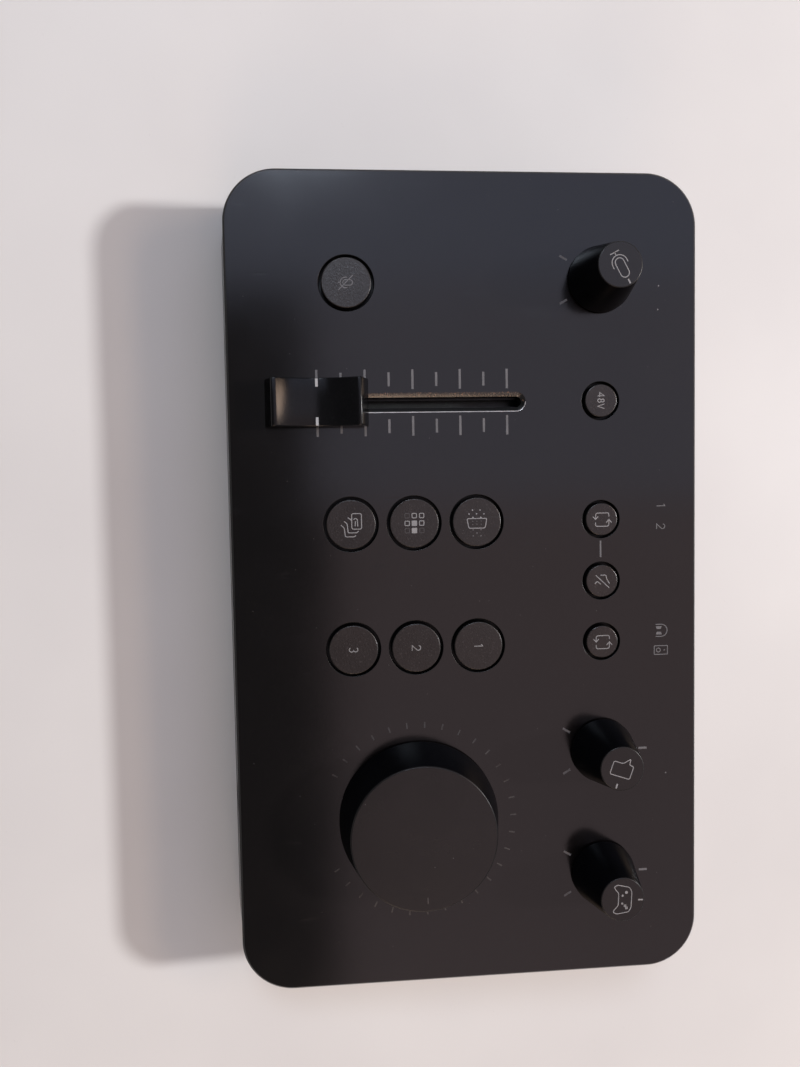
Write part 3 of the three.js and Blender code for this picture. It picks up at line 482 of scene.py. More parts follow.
def addBlock(bm, low, high, place=Matrix()):
    _, _, middle, size = measure(Vector(low), Vector(high))
    matrix = place @ at(*middle) @ Matrix.Diagonal((*size, 1))
    return bmesh.ops.create_cube(bm, size=1, matrix=matrix)["verts"]


def addPrism(bm, points, low, high, place=Matrix()):
    rings = [addRing(bm, points, z, place) for z in (high, low)]
    for ring in rings:
        bm.faces.new(ring)
    bridge(bm, *rings, smooth=False)


def shadeEdges(mesh, sharpAngle=32):
    smooth = [face.use_smooth for face in mesh.polygons]
    mesh.set_sharp_from_angle(angle=math.radians(sharpAngle))
    mesh.polygons.foreach_set("use_smooth", smooth)    # caps stay flat beside a rounded edge


def looseShells(bm):
    left = set(bm.faces)
    while left:
        edge = [left.pop()]
        shell = []
        while edge:
            face = edge.pop()
            shell.append(face)
            near = {other for side in face.edges for other in side.link_faces} & left
            left -= near
            edge.extend(near)
        yield shell


def faceOutward(bm):
    bmesh.ops.recalc_face_normals(bm, faces=bm.faces)
    for shell in list(looseShells(bm)):
        volume, start = 0, shell[0].verts[0].co
        for face in shell:
            corners = [vertex.co - start for vertex in face.verts]
            volume += sum(corners[0].dot(a.cross(b)) for a, b in zip(corners[1:], corners[2:]))
        if volume < 0:
            bmesh.ops.reverse_faces(bm, faces=shell)


def finishPiece(name, bm, coats=(), place=Matrix(), sharpAngle=32):
    faceOutward(bm)
    mesh = bpy.data.meshes.new(name)
    bm.to_mesh(mesh)
    bm.free()
    mesh.transform(place)
    shadeEdges(mesh, sharpAngle)
    for coat in coats:
        mesh.materials.append(finishes[coat])
    return addObject(name, mesh)


def dress(piece, slot, *nodes, body="case"):
    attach(piece, body)
    if nodes:
        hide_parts(*nodes)


def dropPiece(piece):
    mesh = piece.data
    bpy.data.objects.remove(piece)
    bpy.data.meshes.remove(mesh)


def applyModifiers(piece):
    graph = bpy.context.evaluated_depsgraph_get()
    graph.update()
    before = piece.data
    piece.data = bpy.data.meshes.new_from_object(piece.evaluated_get(graph), depsgraph=graph)
    piece.modifiers.clear()
    bpy.data.meshes.remove(before)
    piece.data.name = piece.name


def carve(piece, *cutters):
    for cutter in cutters:
        modifier = piece.modifiers.new("cut", "BOOLEAN")
        modifier.operation = "DIFFERENCE"
        modifier.solver = "EXACT"
        modifier.object = cutter
    applyModifiers(piece)
    for cutter in cutters:
        dropPiece(cutter)


# Flat printed marks: ribbons and patches a hair proud of the surface

markSettings = {
    "proud": 0.015 * mm, "sunk": 0.03 * mm, "width": 0.24 * mm, "dotSteps": 10, "bendSteps": 10,
    "sharpest": 0.5,                     # keeps a sharp corner of a ribbon from running far out
    "sideParts": 2.2,                    # a rounded corner takes at most one part of a side
}


def addRibbon(bm, points, width, height=0.0, closed=False, place=Matrix()):
    points = [Vector(point) for point in points]
    count = len(points)
    high, low = height + markSettings["proud"], height - markSettings["sunk"]
    rings = []
    for i, point in enumerate(points):
        before = points[i - 1] if i > 0 or closed else None
        after = points[(i + 1) % count] if i < count - 1 or closed else None
        forward = (after - point).normalized() if after is not None else (point - before).normalized()
        backward = (point - before).normalized() if before is not None else forward
        normal = Vector((-(forward + backward).y, (forward + backward).x)).normalized()
        lean = abs(normal.dot(Vector((-forward.y, forward.x))))
        reach = normal * width / 2 / max(lean, markSettings["sharpest"])
        corners = [(point + reach, high), (point - reach, high), (point - reach, low), (point + reach, low)]
        rings.append([bm.verts.new(place @ Vector((edge.x, edge.y, z))) for edge, z in corners])
    bridgeAll(bm, rings, smooth=False)
    if closed:
        bridge(bm, rings[-1], rings[0], smooth=False)
    else:
        bm.faces.new(rings[0])
        bm.faces.new(rings[-1])


def addPatch(bm, points, height=0.0, place=Matrix()):
    addPrism(bm, points, height - markSettings["sunk"], height + markSettings["proud"], place)


def roundedPath(points, radius, closed=False, steps=4):
    count = len(points)
    path = []
    for i, point in enumerate(points):
        if not closed and i in (0, count - 1):
            path.append(point)
            continue
        corner = Vector(point)
        before, after = Vector(points[i - 1]), Vector(points[(i + 1) % count])
        shorter = min((before - corner).length, (after - corner).length)
        reach = min(radius, shorter / markSettings["sideParts"])
        start = corner + (before - corner).normalized() * reach
        end = corner + (after - corner).normalized() * reach
        for share in (k / steps for k in range(steps + 1)):
            path.append(tuple(start * (1 - share) ** 2 + corner * 2 * share * (1 - share) + end * share ** 2))
    return path


# A symbol is a list of strokes in millimetres: ("line" | "loop" | "dot" | "fill", points, corner radius)

def addSymbol(bm, strokes, x, y, height, angle=0.0, width=markSettings["width"]):
    place = at(x, y) @ Matrix.Rotation(-math.radians(angle), 4, "Z")
    for kind, points, radius in strokes:
        if kind == "dot":
            dot = circleOutline(radius * mm, markSettings["dotSteps"], points[0] * mm, points[1] * mm)
            addPatch(bm, dot(0), height, place)
            continue
        path = [(px * mm, py * mm) for px, py in points]
        if radius or kind == "fill":
            path = roundedPath(path, radius * mm, kind != "line")
        if kind == "fill":
            addPatch(bm, path, height, place)
        else:
            addRibbon(bm, path, width, height, kind == "loop", place)


def square(x, y, half):
    return [(x - half, y - half), (x + half, y - half), (x + half, y + half), (x - half, y + half)]


def bend(y, radius, start, end):
    return arcPoints(0, y, radius, start, end, markSettings["bendSteps"])


def pill(low, high, radius):
    return bend(high, radius, 0, 180) + bend(low, radius, 180, 360)


def bowl(y, radius, rim):
    return [(-radius, rim), *bend(y, radius, 180, 360), (radius, rim)]


def printSymbol(name, strokes, x, y, height, slot, ink="printInk", body="case"):
    bm = bmesh.new()
    addSymbol(bm, strokes, x, y, height)
    dress(finishPiece(name, bm, [ink], panelPlace), slot, body=body)


# Geometry trees for what repeats

def startTree(name, inputs):
    tree = bpy.data.node_groups.new(name, "GeometryNodeTree")
    tree.interface.new_socket("Geometry", in_out="OUTPUT", socket_type="NodeSocketGeometry")
    for label, kind in inputs.items():
        tree.interface.new_socket(label, in_out="INPUT", socket_type="NodeSocket" + kind)
    return tree, tree.nodes.new("NodeGroupInput").outputs


def endTree(tree, geometry, material):
    real = addNode(tree, "GeometryNodeRealizeInstances", {"Geometry": geometry})
    painted = addNode(tree, "GeometryNodeSetMaterial", {"Geometry": real, "Material": material})
    tree.links.new(painted, tree.nodes.new("NodeGroupOutput").inputs[0])
    return tree


def runTree(tree, name, values, place=Matrix()):
    carrier = addObject(name, bpy.data.meshes.new(name))
    modifier = carrier.modifiers.new("repeat", "NODES")
    modifier.node_group = tree
    for item in tree.interface.items_tree:
        if item.in_out == "INPUT" and item.name in values:
            modifier[item.identifier] = values[item.name]
    applyModifiers(carrier)
    carrier.data.transform(place)
    return carrier


def combine(tree, **parts):
    return addNode(tree, "ShaderNodeCombineXYZ", parts)


def dialMarksTree():
    tree, given = startTree("dialMarks", {
        "count": "Int", "firstAngle": "Float", "stepAngle": "Float", "radius": "Float",
        "length": "Float", "width": "Float", "height": "Float", "material": "Material"})
    steps = mathNode(tree, "MULTIPLY", addNode(tree, "GeometryNodeInputIndex"), given["stepAngle"])
    angle = mathNode(tree, "ADD", steps, given["firstAngle"])
    x = mathNode(tree, "MULTIPLY", mathNode(tree, "SINE", angle), given["radius"])
    y = mathNode(tree, "MULTIPLY", mathNode(tree, "COSINE", angle), given["radius"])
    line = addNode(tree, "GeometryNodeMeshLine", {"Count": given["count"]})
    points = addNode(tree, "GeometryNodeSetPosition", {"Geometry": line, "Position": combine(tree, X=x, Y=y)})
    size = combine(tree, X=given["width"], Y=given["length"], Z=given["height"])
    copies = addNode(tree, "GeometryNodeInstanceOnPoints", {
        "Points": points, "Instance": addNode(tree, "GeometryNodeMeshCube", {"Size": size}),
        "Rotation": combine(tree, Z=mathNode(tree, "MULTIPLY", angle, -1.0))})
    return endTree(tree, copies, given["material"])


def ladderMarksTree():
    tree, given = startTree("ladderMarks", {
        "count": "Int", "pitch": "Float", "reach": "Float", "long": "Float", "short": "Float",
        "width": "Float", "height": "Float", "material": "Material"})
    line = addNode(tree, "GeometryNodeMeshLine", {
        "Count": given["count"], "Offset": combine(tree, Y=given["pitch"])})
    odd = mathNode(tree, "MODULO", addNode(tree, "GeometryNodeInputIndex"), 2.0)
    less = mathNode(tree, "SUBTRACT", given["short"], given["long"])
    length = mathNode(tree, "MULTIPLY_ADD", odd, less, given["long"])
    copies = addNode(tree, "GeometryNodeInstanceOnPoints", {
        "Points": line, "Instance": addNode(tree, "GeometryNodeMeshCube"),
        "Scale": combine(tree, X=length, Y=given["width"], Z=given["height"])})
    both = addNode(tree, "GeometryNodeJoinGeometry")
    for side in (-1.0, 1.0):
        away = combine(tree, X=mathNode(tree, "MULTIPLY", given["reach"], side))
        moved = addNode(tree, "GeometryNodeTransform", {"Geometry": copies, "Translation": away})
        tree.links.new(moved, both.node.inputs[0])
    return endTree(tree, both, given["material"])


def cornerCopiesTree():
    tree, given = startTree("cornerCopies", {
        "width": "Float", "depth": "Float", "template": "Object", "material": "Material"})
    grid = addNode(tree, "GeometryNodeMeshGrid", {
        "Size X": given["width"], "Size Y": given["depth"], "Vertices X": 2, "Vertices Y": 2})
    template = addNode(tree, "GeometryNodeObjectInfo", {"Object": given["template"]}, "Geometry")
    copies = addNode(tree, "GeometryNodeInstanceOnPoints", {"Points": grid, "Instance": template})
    return endTree(tree, copies, given["material"])


trees = {"dial": dialMarksTree(), "ladder": ladderMarksTree(), "corners": cornerCopiesTree()}
print("geometry trees made,", len(trees))


# Top panel: chamfered plate with every opening, and its lip, collar and posts beneath

topPanelSettings = {
    "cornerRadius": 14.4 * mm, "cornerSteps": 24, "thickness": 3 * mm, "chamfer": 0.6 * mm,
    "keyGap": 0.75 * mm, "keyEdge": 0.16 * mm, "holeSteps": 72, "shaftHole": 4.5 * mm, "shaftSteps": 32,
    "slotWidth": 3 * mm, "slotLength": 60.9 * mm, "slotSteps": 12, "rimDepth": 0.06 * mm,
    "slotEdge": [(1.25 * mm, 0), (1.02 * mm, 0.06 * mm), (0, 0.64 * mm)],
    "collarWall": 1.2 * mm, "collarDepth": 1.9 * mm,
    "lipHeight": 2.5 * mm, "lipWidth": 1.5 * mm, "lipInset": 3.1 * mm, "lipSteps": 10,
    "postRadius": 3 * mm, "pegRadius": 1.3 * mm, "postInset": 5 * mm, "postRear": 26 * mm,
    "postSteps": 24, "pegSteps": 16, "edgeSteps": 4, "seam": 0.3 * mm,
    "sink": 0.2 * mm,                    # a post starts this deep inside the plate
}

keyNames = [node[:-4] for node in frame["nodes"] if node.endswith("_key")]
dialNames = [node[:-5] for node in frame["nodes"] if node.endswith("_knob")]


def keyRadius(name):
    middle = panelBox(name + "_key")[2]
    return max(math.hypot(p.x - middle.x, p.y - middle.y) for p in panelPoints(name + "_key") if p.z > 0)


def makeTopPanel(spec):
    _, _, middle, size = panelBox("top_panel")
    thickness, corner = spec["thickness"], spec["cornerRadius"]
    holes = []
    for name in keyNames:
        spot = panelBox(name + "_key")[2]
        holes.append(circleOutline(keyRadius(name) + spec["keyGap"], spec["holeSteps"], spot.x, spot.y))
    for name in dialNames:
        spot = panelBox(name + "_shaft")[2]
        holes.append(circleOutline(spec["shaftHole"], spec["shaftSteps"], spot.x, spot.y))
    edges = [spec["keyEdge"]] * len(holes) + [spec["slotEdge"]]
    paints = [(1, 0)] + [(1, 1)] * len(holes) + [(2, 1)]
    spot = panelBox("fader_frame")[2]
    slot = roundedOutline(spec["slotWidth"], spec["slotLength"], spec["slotWidth"] / 2, spec["slotSteps"],
                          spot.x, spot.y)
    holes.append(slot)
    bm = bmesh.new()
    outline = roundedOutline(size.x, size.y, corner, spec["cornerSteps"], middle.x, middle.y)
    addPlate(bm, outline, holes, -thickness, 0, spec["chamfer"], edges, spec["edgeSteps"], paints=paints)
    for face in bm.faces:
        place = face.calc_center_median()
        if face.material_index == 2 and place.x > spot.x:    # on this side the edge's top band is painted light grey as a painted highlight, and the rest takes the dark edge finish
            face.material_index = 3 if place.z > -spec["rimDepth"] else 1
    inset, under = spec["lipInset"], spec["sink"] - thickness
    lip = roundedOutline(size.x - inset * 2, size.y - inset * 2, corner - inset, spec["lipSteps"],
                         middle.x, middle.y)
    addPlate(bm, lip, [grown(lip, -spec["lipWidth"])], -thickness - spec["lipHeight"], under)
    addPlate(bm, grown(slot, spec["collarWall"]), [slot], -thickness - spec["collarDepth"], under,
             paints=[(0, 0), (1, 1)])
    boardLow, boardHigh, boardMiddle, boardSize = panelBox("control_board")
    reach = boardSize.x / 2 - spec["postInset"]
    for x in (boardMiddle.x - reach, boardMiddle.x, boardMiddle.x + reach):
        for y in (boardLow.y + spec["postInset"], boardHigh.y - spec["postRear"]):
            addPost(bm, x, y, spec["postRadius"], boardHigh.z + spec["seam"], under, spec["postSteps"])
            addPost(bm, x, y, spec["pegRadius"], boardLow.z, boardHigh.z + spec["sink"] * 2, spec["pegSteps"])
    skin = finishPiece("panelSkin", bm, ["panelPlastic", "panelEdge", "slotEdge", "slotRim"], panelPlace)
    dress(skin, "panel_plastic", "top_panel")


makeTopPanel(topPanelSettings)
print("top panel made")


# Case shell: wall with a slanting top, rear window, front socket hole and four bosses

cornerNames = ["front_left", "front_right", "rear_left", "rear_right"]
footNodes = ["foot_" + name for name in cornerNames]
screwNodes = ["case_screw_" + name for name in cornerNames]

caseSettings = {
    "reveal": 0.4 * mm, "wall": 2.4 * mm, "cornerRadius": 14.4 * mm, "cornerSteps": 20,
    "footChamfer": 1.2 * mm, "seam": 0.3 * mm, "panelThickness": 3 * mm,
    "windowLap": 2.2 * mm, "holeRadius": 4.4 * mm, "flare": 0.45 * mm, "over": 3 * mm,
    "bossRadius": 4 * mm, "bossBore": 1.7 * mm, "bossSpan": (8.3 * mm, 22.3 * mm),
    "bossSteps": 28, "holeSteps": 48,
}


def spots(nodes):
    return [worldBox(node)[2] for node in nodes]


def slantAt(y, below):
    point = panelPlace @ Vector((0, 0, -below))
    return point.z + (y - point.y) * math.tan(panelTilt)


def windowCutter(spec, rear):
    low, high, _, _ = worldBox("rear_panel")
    lap, flare, over = spec["windowLap"], spec["flare"], spec["over"]
    bm = bmesh.new()
    rings = []
    for grow, y in ((0, rear - spec["wall"] - over), (0, rear - flare), (flare + over, rear + over)):
        x0, x1 = low.x + lap - grow, high.x - lap + grow
        z0, z1 = low.z + lap - grow, high.z - lap + grow
        rings.append([bm.verts.new(p) for p in ((x0, y, z0), (x1, y, z0), (x1, y, z1), (x0, y, z1))])
    bridgeAll(bm, rings, False)
    bm.faces.new(rings[0])
    bm.faces.new(rings[-1])
    return finishPiece("windowCutter", bm)


def socketHoleCutter(spec, front):
    spot = worldBox("headset_socket")[2]
    radius, wall, flare, over = spec["holeRadius"], spec["wall"], spec["flare"], spec["over"]
    bm = bmesh.new()
    addLathe(bm, [(0, -wall - over), (radius, -wall - over), (radius, -flare), (radius + flare + over, over),
                  (0, over)], spec["holeSteps"], at(spot.x, front, spot.z) @ frontFacing)
    return finishPiece("holeCutter", bm)


def makeCaseShell(spec):
    low, high, _, size = worldBox("case_shell")
    outline = roundedOutline(size.x, size.y, spec["cornerRadius"] - spec["reveal"], spec["cornerSteps"])
    below, chamfer, wall = spec["panelThickness"] + spec["seam"], spec["footChamfer"], spec["wall"]
    bm = bmesh.new()
    rings = []
    for inset, z in ((chamfer, low.z), (0, low.z + chamfer), (0, None), (wall, None), (wall, low.z)):
        points = [(x, y, slantAt(y, below) if z is None else z) for x, y in outline(-inset)]
        rings.append([bm.verts.new(point) for point in points])
    bridgeAll(bm, rings + rings[:1])
    shell = finishPiece("caseSkin", bm, ["casePlastic"])
    bm = bmesh.new()
    for spot in spots(screwNodes):
        addSleeve(bm, spec["bossBore"], spec["bossRadius"], *spec["bossSpan"], spec["bossSteps"],
                  at(spot.x, spot.y))
    dress(finishPiece("caseBosses", bm, ["casePlastic"]), "case_plastic")
    carve(shell, windowCutter(spec, high.y), socketHoleCutter(spec, low.y))
    dress(shell, "case_plastic", "case_shell")


makeCaseShell(caseSettings)
print("case shell made")


# Bottom cover, with screw wells, foot recesses, ribs and the main board's posts

coverSettings = {
    "cornerRadius": 11.3 * mm, "cornerSteps": 14, "thickness": 2.4 * mm, "edge": 0.25 * mm,
    "wellRadius": 3.1 * mm, "recessDepth": 0.8 * mm, "footGap": 0.3 * mm, "over": 1 * mm,
    "padRadius": 4.5 * mm, "padHeight": 2.6 * mm, "padSink": 0.1 * mm, "boreRadius": 1.7 * mm,
    "ribWidth": 1.4 * mm, "ribHeight": 1.6 * mm, "postInset": 9 * mm, "postRadius": 3 * mm,
    "pegRadius": 1.3 * mm, "seam": 0.3 * mm, "sink": 0.2 * mm,
    "postSteps": 24, "pegSteps": 16, "recessSteps": 48, "wellSteps": 40, "padSteps": 28,
}


def coverCutter(spec, low, top):
    recess = worldBox(footNodes[0])[3].x / 2 + spec["footGap"]
    soft, over = spec["edge"], spec["over"]
    profile = [(0, low - over), (recess + over + soft, low - over), (recess, low + soft),
               (recess, low + spec["recessDepth"]), (0, low + spec["recessDepth"])]
    bm = bmesh.new()
    for spot in spots(footNodes):
        addLathe(bm, profile, spec["recessSteps"], at(spot.x, spot.y))
    for spot in spots(screwNodes):
        addPost(bm, spot.x, spot.y, spec["wellRadius"], low - over, top + over, spec["wellSteps"])
    return finishPiece("coverCutter", bm)


def makeBottomCover(spec):
    low, _, middle, size = worldBox("bottom_cover")
    top = low.z + spec["thickness"]
    bm = bmesh.new()
    outline = roundedOutline(size.x, size.y, spec["cornerRadius"], spec["cornerSteps"], middle.x, middle.y)
    addPlate(bm, outline, [], low.z, top, spec["edge"])
    plate = finishPiece("coverPlate", bm, ["coverPlastic"])
    carve(plate, coverCutter(spec, low.z, top))
    dress(plate, "cover_plastic")
    bm = bmesh.new()
    for spot in spots(screwNodes):
        addSleeve(bm, spec["boreRadius"], spec["padRadius"], top - spec["padSink"], top + spec["padHeight"],
                  spec["padSteps"], at(spot.x, spot.y))
    boardLow, boardHigh, _, boardSize = worldBox("main_board")
    reachX, reachY = boardSize.x / 2 - spec["postInset"], boardSize.y / 2 - spec["postInset"]
    sunk, half = top - spec["sink"], spec["ribWidth"] / 2
    for x in (-reachX, 0, reachX):
        addBlock(bm, (x - half, -reachY, sunk), (x + half, reachY, top + spec["ribHeight"]))
        for y in (-reachY, reachY):
            addPost(bm, x, y, spec["postRadius"], sunk, boardLow.z - spec["seam"], spec["postSteps"])
            addPost(bm, x, y, spec["pegRadius"], sunk, boardHigh.z, spec["pegSteps"])
    dress(finishPiece("coverPosts", bm, ["coverPlastic"]), "cover_plastic", "bottom_cover")


makeBottomCover(coverSettings)

labelPlateSettings = {
    "width": 72 * mm, "depth": 34 * mm, "corner": 1.5 * mm, "cornerSteps": 6,
    "thickness": 0.06 * mm, "sunk": 0.04 * mm,
}


def makeBlankLabel(spec):
    low = worldBox("bottom_cover")[0].z
    bm = bmesh.new()
    outline = roundedOutline(spec["width"], spec["depth"], spec["corner"], spec["cornerSteps"])
    addPlate(bm, outline, [], low - spec["thickness"], low + spec["sunk"])
    dress(finishPiece("blankLabel", bm, ["labelFilm"]), "cover_plastic")


makeBlankLabel(labelPlateSettings)
print("bottom cover made")


# Rubber feet and case screws, four copies each

footSettings = {
    "edge": 0.8 * mm, "edgeSteps": 6, "dish": 0.35 * mm, "steps": 56,
    "grooveAt": 0.68, "grooveWidth": 0.5 * mm,    # the place is a share of the radius
}
screwSettings = {
    "headHeight": 1.9 * mm, "headEdge": 0.5 * mm, "edgeSteps": 5, "shankRadius": 1.4 * mm,
    "slotLength": 3.6 * mm, "slotWidth": 0.8 * mm, "slotDepth": 1.1 * mm, "steps": 40,
}


def copyToCorners(template, name, nodes, finish, slot):
    places = spots(nodes)
    width = max(p.x for p in places) - min(p.x for p in places)
    depth = max(p.y for p in places) - min(p.y for p in places)
    copies = runTree(trees["corners"], name, {
        "width": width, "depth": depth, "template": template, "material": finishes[finish]})
    dropPiece(template)
    dress(copies, slot, *nodes)


def makeFeet(spec):
    low, high, _, size = worldBox(footNodes[0])
    radius = size.x / 2
    groove, wide = radius * spec["grooveAt"], spec["grooveWidth"]
    deep, edge = low.z + spec["dish"], spec["edge"]
    bm = bmesh.new()
    addLathe(bm, [(0, low.z), (groove - wide, low.z), (groove - wide / 2, deep), (groove + wide / 2, deep),
                  (groove + wide, low.z),
                  *arcPoints(radius - edge, low.z + edge, edge, -90, 0, spec["edgeSteps"]),
                  (radius, high.z), (0, high.z)], spec["steps"])
    template = finishPiece("footTemplate", bm, ["footRubber"])
    copyToCorners(template, "rubberFeet", footNodes, "footRubber", "foot_rubber")


def makeScrews(spec):
    low, high, _, size = worldBox(screwNodes[0])
    radius, edge, shank, top = size.x / 2, spec["headEdge"], spec["shankRadius"], low.z + spec["headHeight"]
    bm = bmesh.new()
    addLathe(bm, [(0, low.z), *arcPoints(radius - edge, low.z + edge, edge, -90, 0, spec["edgeSteps"]),
                  (radius, top), (shank, top), (shank, high.z - shank), (0, high.z)], spec["steps"])
    template = finishPiece("screwTemplate", bm, ["blackSteel"])
    half, arm, deep = spec["slotLength"] / 2, spec["slotWidth"] / 2, spec["slotDepth"]
    cross = bmesh.new()
    addPrism(cross, [(arm, arm), (arm, half), (-arm, half), (-arm, arm), (-half, arm), (-half, -arm),
                     (-arm, -arm), (-arm, -half), (arm, -half), (arm, -arm), (half, -arm), (half, arm)],
             low.z - deep, low.z + deep)
    carve(template, finishPiece("crossCutter", cross))
    copyToCorners(template, "caseScrews", screwNodes, "blackSteel", "black_steel")


makeFeet(footSettings)
makeScrews(screwSettings)
print("feet and screws made")


# Keys: capped discs with a soft edge, each with its printed symbol

keySettings = {
    "edge": 0.3 * mm, "edgeSteps": 5, "shoulder": 1.4, "crown": 1.5, "flat": 0.25,    # three shares of the edge
    "wall": 1.1 * mm, "roof": 0.9 * mm, "flangeHeight": 1.1 * mm, "panelThickness": 3 * mm, "seam": 0.3 * mm,
    "stemRadius": 1.5 * mm, "stemSteps": 16, "largeRadius": 6 * mm, "steps": 72,
}

micSymbol = [
    ("loop", pill(-0.5, 2.4, 1.2), 0),
    ("line", bowl(-0.4, 2.1, 0.3), 0),
    ("line", [(0, -2.5), (0, -3.4)], 0),
    ("line", [(-1.35, -3.4), (1.35, -3.4)], 0),
]
mutedMicSymbol = [
    ("loop", pill(-0.1, 1.0, 0.75), 0),
    ("line", bowl(-0.2, 1.4, 0.3), 0),
    ("line", [(0, -1.6), (0, -2.2)], 0),
    ("line", [(-2.0, 1.9), (2.0, -2.1)], 0),
]
chatSymbol = [
    ("loop", [(2.85, -1.45), (0.2, -1.45), (-1.5, -3.2), (-1.55, -1.5), (-2.85, -1.4), (-2.8, 2.2),
              (2.9, 2.2)], 0.5),
]
gameSymbol = [
    ("loop", [(-2.2, 2.4), (2.2, 2.4), (3.4, 1.7), (4.0, -1.6), (3.5, -2.5), (2.9, -2.3), (1.7, -1.2),
              (-1.7, -1.2), (-2.9, -2.3), (-3.5, -2.5), (-4.0, -1.6), (-3.4, 1.7)], 0.45),
    ("dot", (-2.0, 0.9), 0.42), ("dot", (-1.1, -0.1), 0.3), ("dot", (1.1, -0.1), 0.3),
    ("loop", square(1.7, 0.7, 0.22), 0), ("loop", square(2.3, 1.1, 0.22), 0),
]
cycleSymbol = [
    ("line", [(-0.7, 2.1), (-1.75, 2.1), (-1.75, -1.75), (-0.2, -1.75)], 0.7),
    ("line", [(-0.8, -2.55), (0.05, -1.75), (-0.8, -1.0)], 0),
    ("line", [(0.9, -1.75), (2.0, -1.75), (2.0, 2.1), (0.3, 2.1)], 0.7),
    ("line", [(1.0, 1.3), (0.1, 2.1), (1.0, 2.9)], 0),
]
slashSymbol = [
    ("line", [(-1.6, -1.75), (2.0, 2.1)], 0),
    ("line", [(-1.6, -0.4), (-1.65, 1.2), (-0.5, 1.4), (0.8, 2.2)], 0.5),
    ("line", [(0.95, -0.3), (0.1, -1.4), (0.85, -2.0)], 0.2),
]
cardsSymbol = [
    ("loop", [(-3.0, 0.2), (1.3, 0.2), (1.3, 2.9), (-3.0, 2.9)], 0.55),
    ("line", [(-1.95, -0.9), (-1.2, 0.1)], 0),
    ("line", [(-0.9, -1.9), (-0.2, -1.05), (2.3, -0.85), (2.3, 1.6), (1.8, 2.05)], 0.4),
    ("line", [(0.1, -2.8), (0.9, -1.9), (3.4, -1.6), (3.4, 0.9), (3.0, 1.3)], 0.4),
    ("line", [(-1.3, 0.75), (-1.7, 1.1), (-1.5, 1.75), (0.6, 1.85)], 0.3),
    ("line", [(-0.9, 1.2), (0.5, 1.15)], 0),
]
gridSymbol = [
    *[("loop", square(x, y, 0.62), 0.25) for x, y in ((-2.1, 0), (-2.1, 2.05), (0, -2.0), (0, 2.05))],
    *[("fill", square(x, y, 0.75), 0.25) for x, y in ((0, 0), (2.05, 0))],
]
gridFaintSymbol = [("loop", square(x, y, 0.62), 0.25) for x, y in ((-2.1, -2.0), (2.05, -2.0), (2.05, 2.05))]
sieveSymbol = [
    ("loop", [(-0.95, -2.8), (-0.95, 2.8), (1.75, 2.3), (1.75, -2.3)], 0.5),
    *[("dot", (x, y), 0.2) for x, y in ((-3.3, -1.2), (-3.3, 0.9), (-2.2, -2.2), (-2.25, -0.1), (-2.2, 2.0))],
    *[("dot", (-1.2, y), 0.26) for y in (-1.1, 1.1)],
]
sieveFaintSymbol = [
    *[("dot", (x, y), 0.17) for x, y in ((2.2, -1.1), (2.2, 1.1), (3.1, 0), (3.9, -1.1), (3.9, 1.1))],
    *[("dot", (x, y), 0.13) for x in (-0.2, 0.7) for y in (-1.2, 0, 1.2)],
]
digitSymbols = {
    "1": [("line", [(-0.47, 0.81), (0.08, 1.2), (0.08, -1.2)], 0)],
    "2": [("line", [*bend(0.53, 0.67, 170, -32), (-0.7, -1.2), (0.73, -1.2)], 0)],
    "3": [("line", arcPoints(-0.04, 0.6, 0.6, 150, -90, 10), 0),
          ("line", arcPoints(-0.04, -0.58, 0.62, 90, -150, 10), 0)],
}
voltSymbol = [
    ("line", [(-1.32, -0.95), (-1.32, 0.95), (-2.25, -0.38), (-1.0, -0.38)], 0),
    ("loop", arcPoints(0, 0.47, 0.42, 0, 330, 11), 0),
    ("loop", arcPoints(0, -0.45, 0.5, 0, 330, 11), 0),
    ("line", [(0.95, 0.95), (1.6, -0.95), (2.25, 0.95)], 0),
]

keySymbols = {
    "mic_mute": mutedMicSymbol, "effect_1": sieveSymbol, "effect_2": gridSymbol, "effect_3": cardsSymbol,
    "source_select": cycleSymbol, "stream_mute": slashSymbol, "output_select": cycleSymbol,
    "pad_1": digitSymbols["1"], "pad_2": digitSymbols["2"], "pad_3": digitSymbols["3"],
    "phantom_power": voltSymbol,
}
keyFaintSymbols = {"effect_1": (sieveFaintSymbol, "tickInk"), "effect_2": (gridFaintSymbol, "faintInk")}


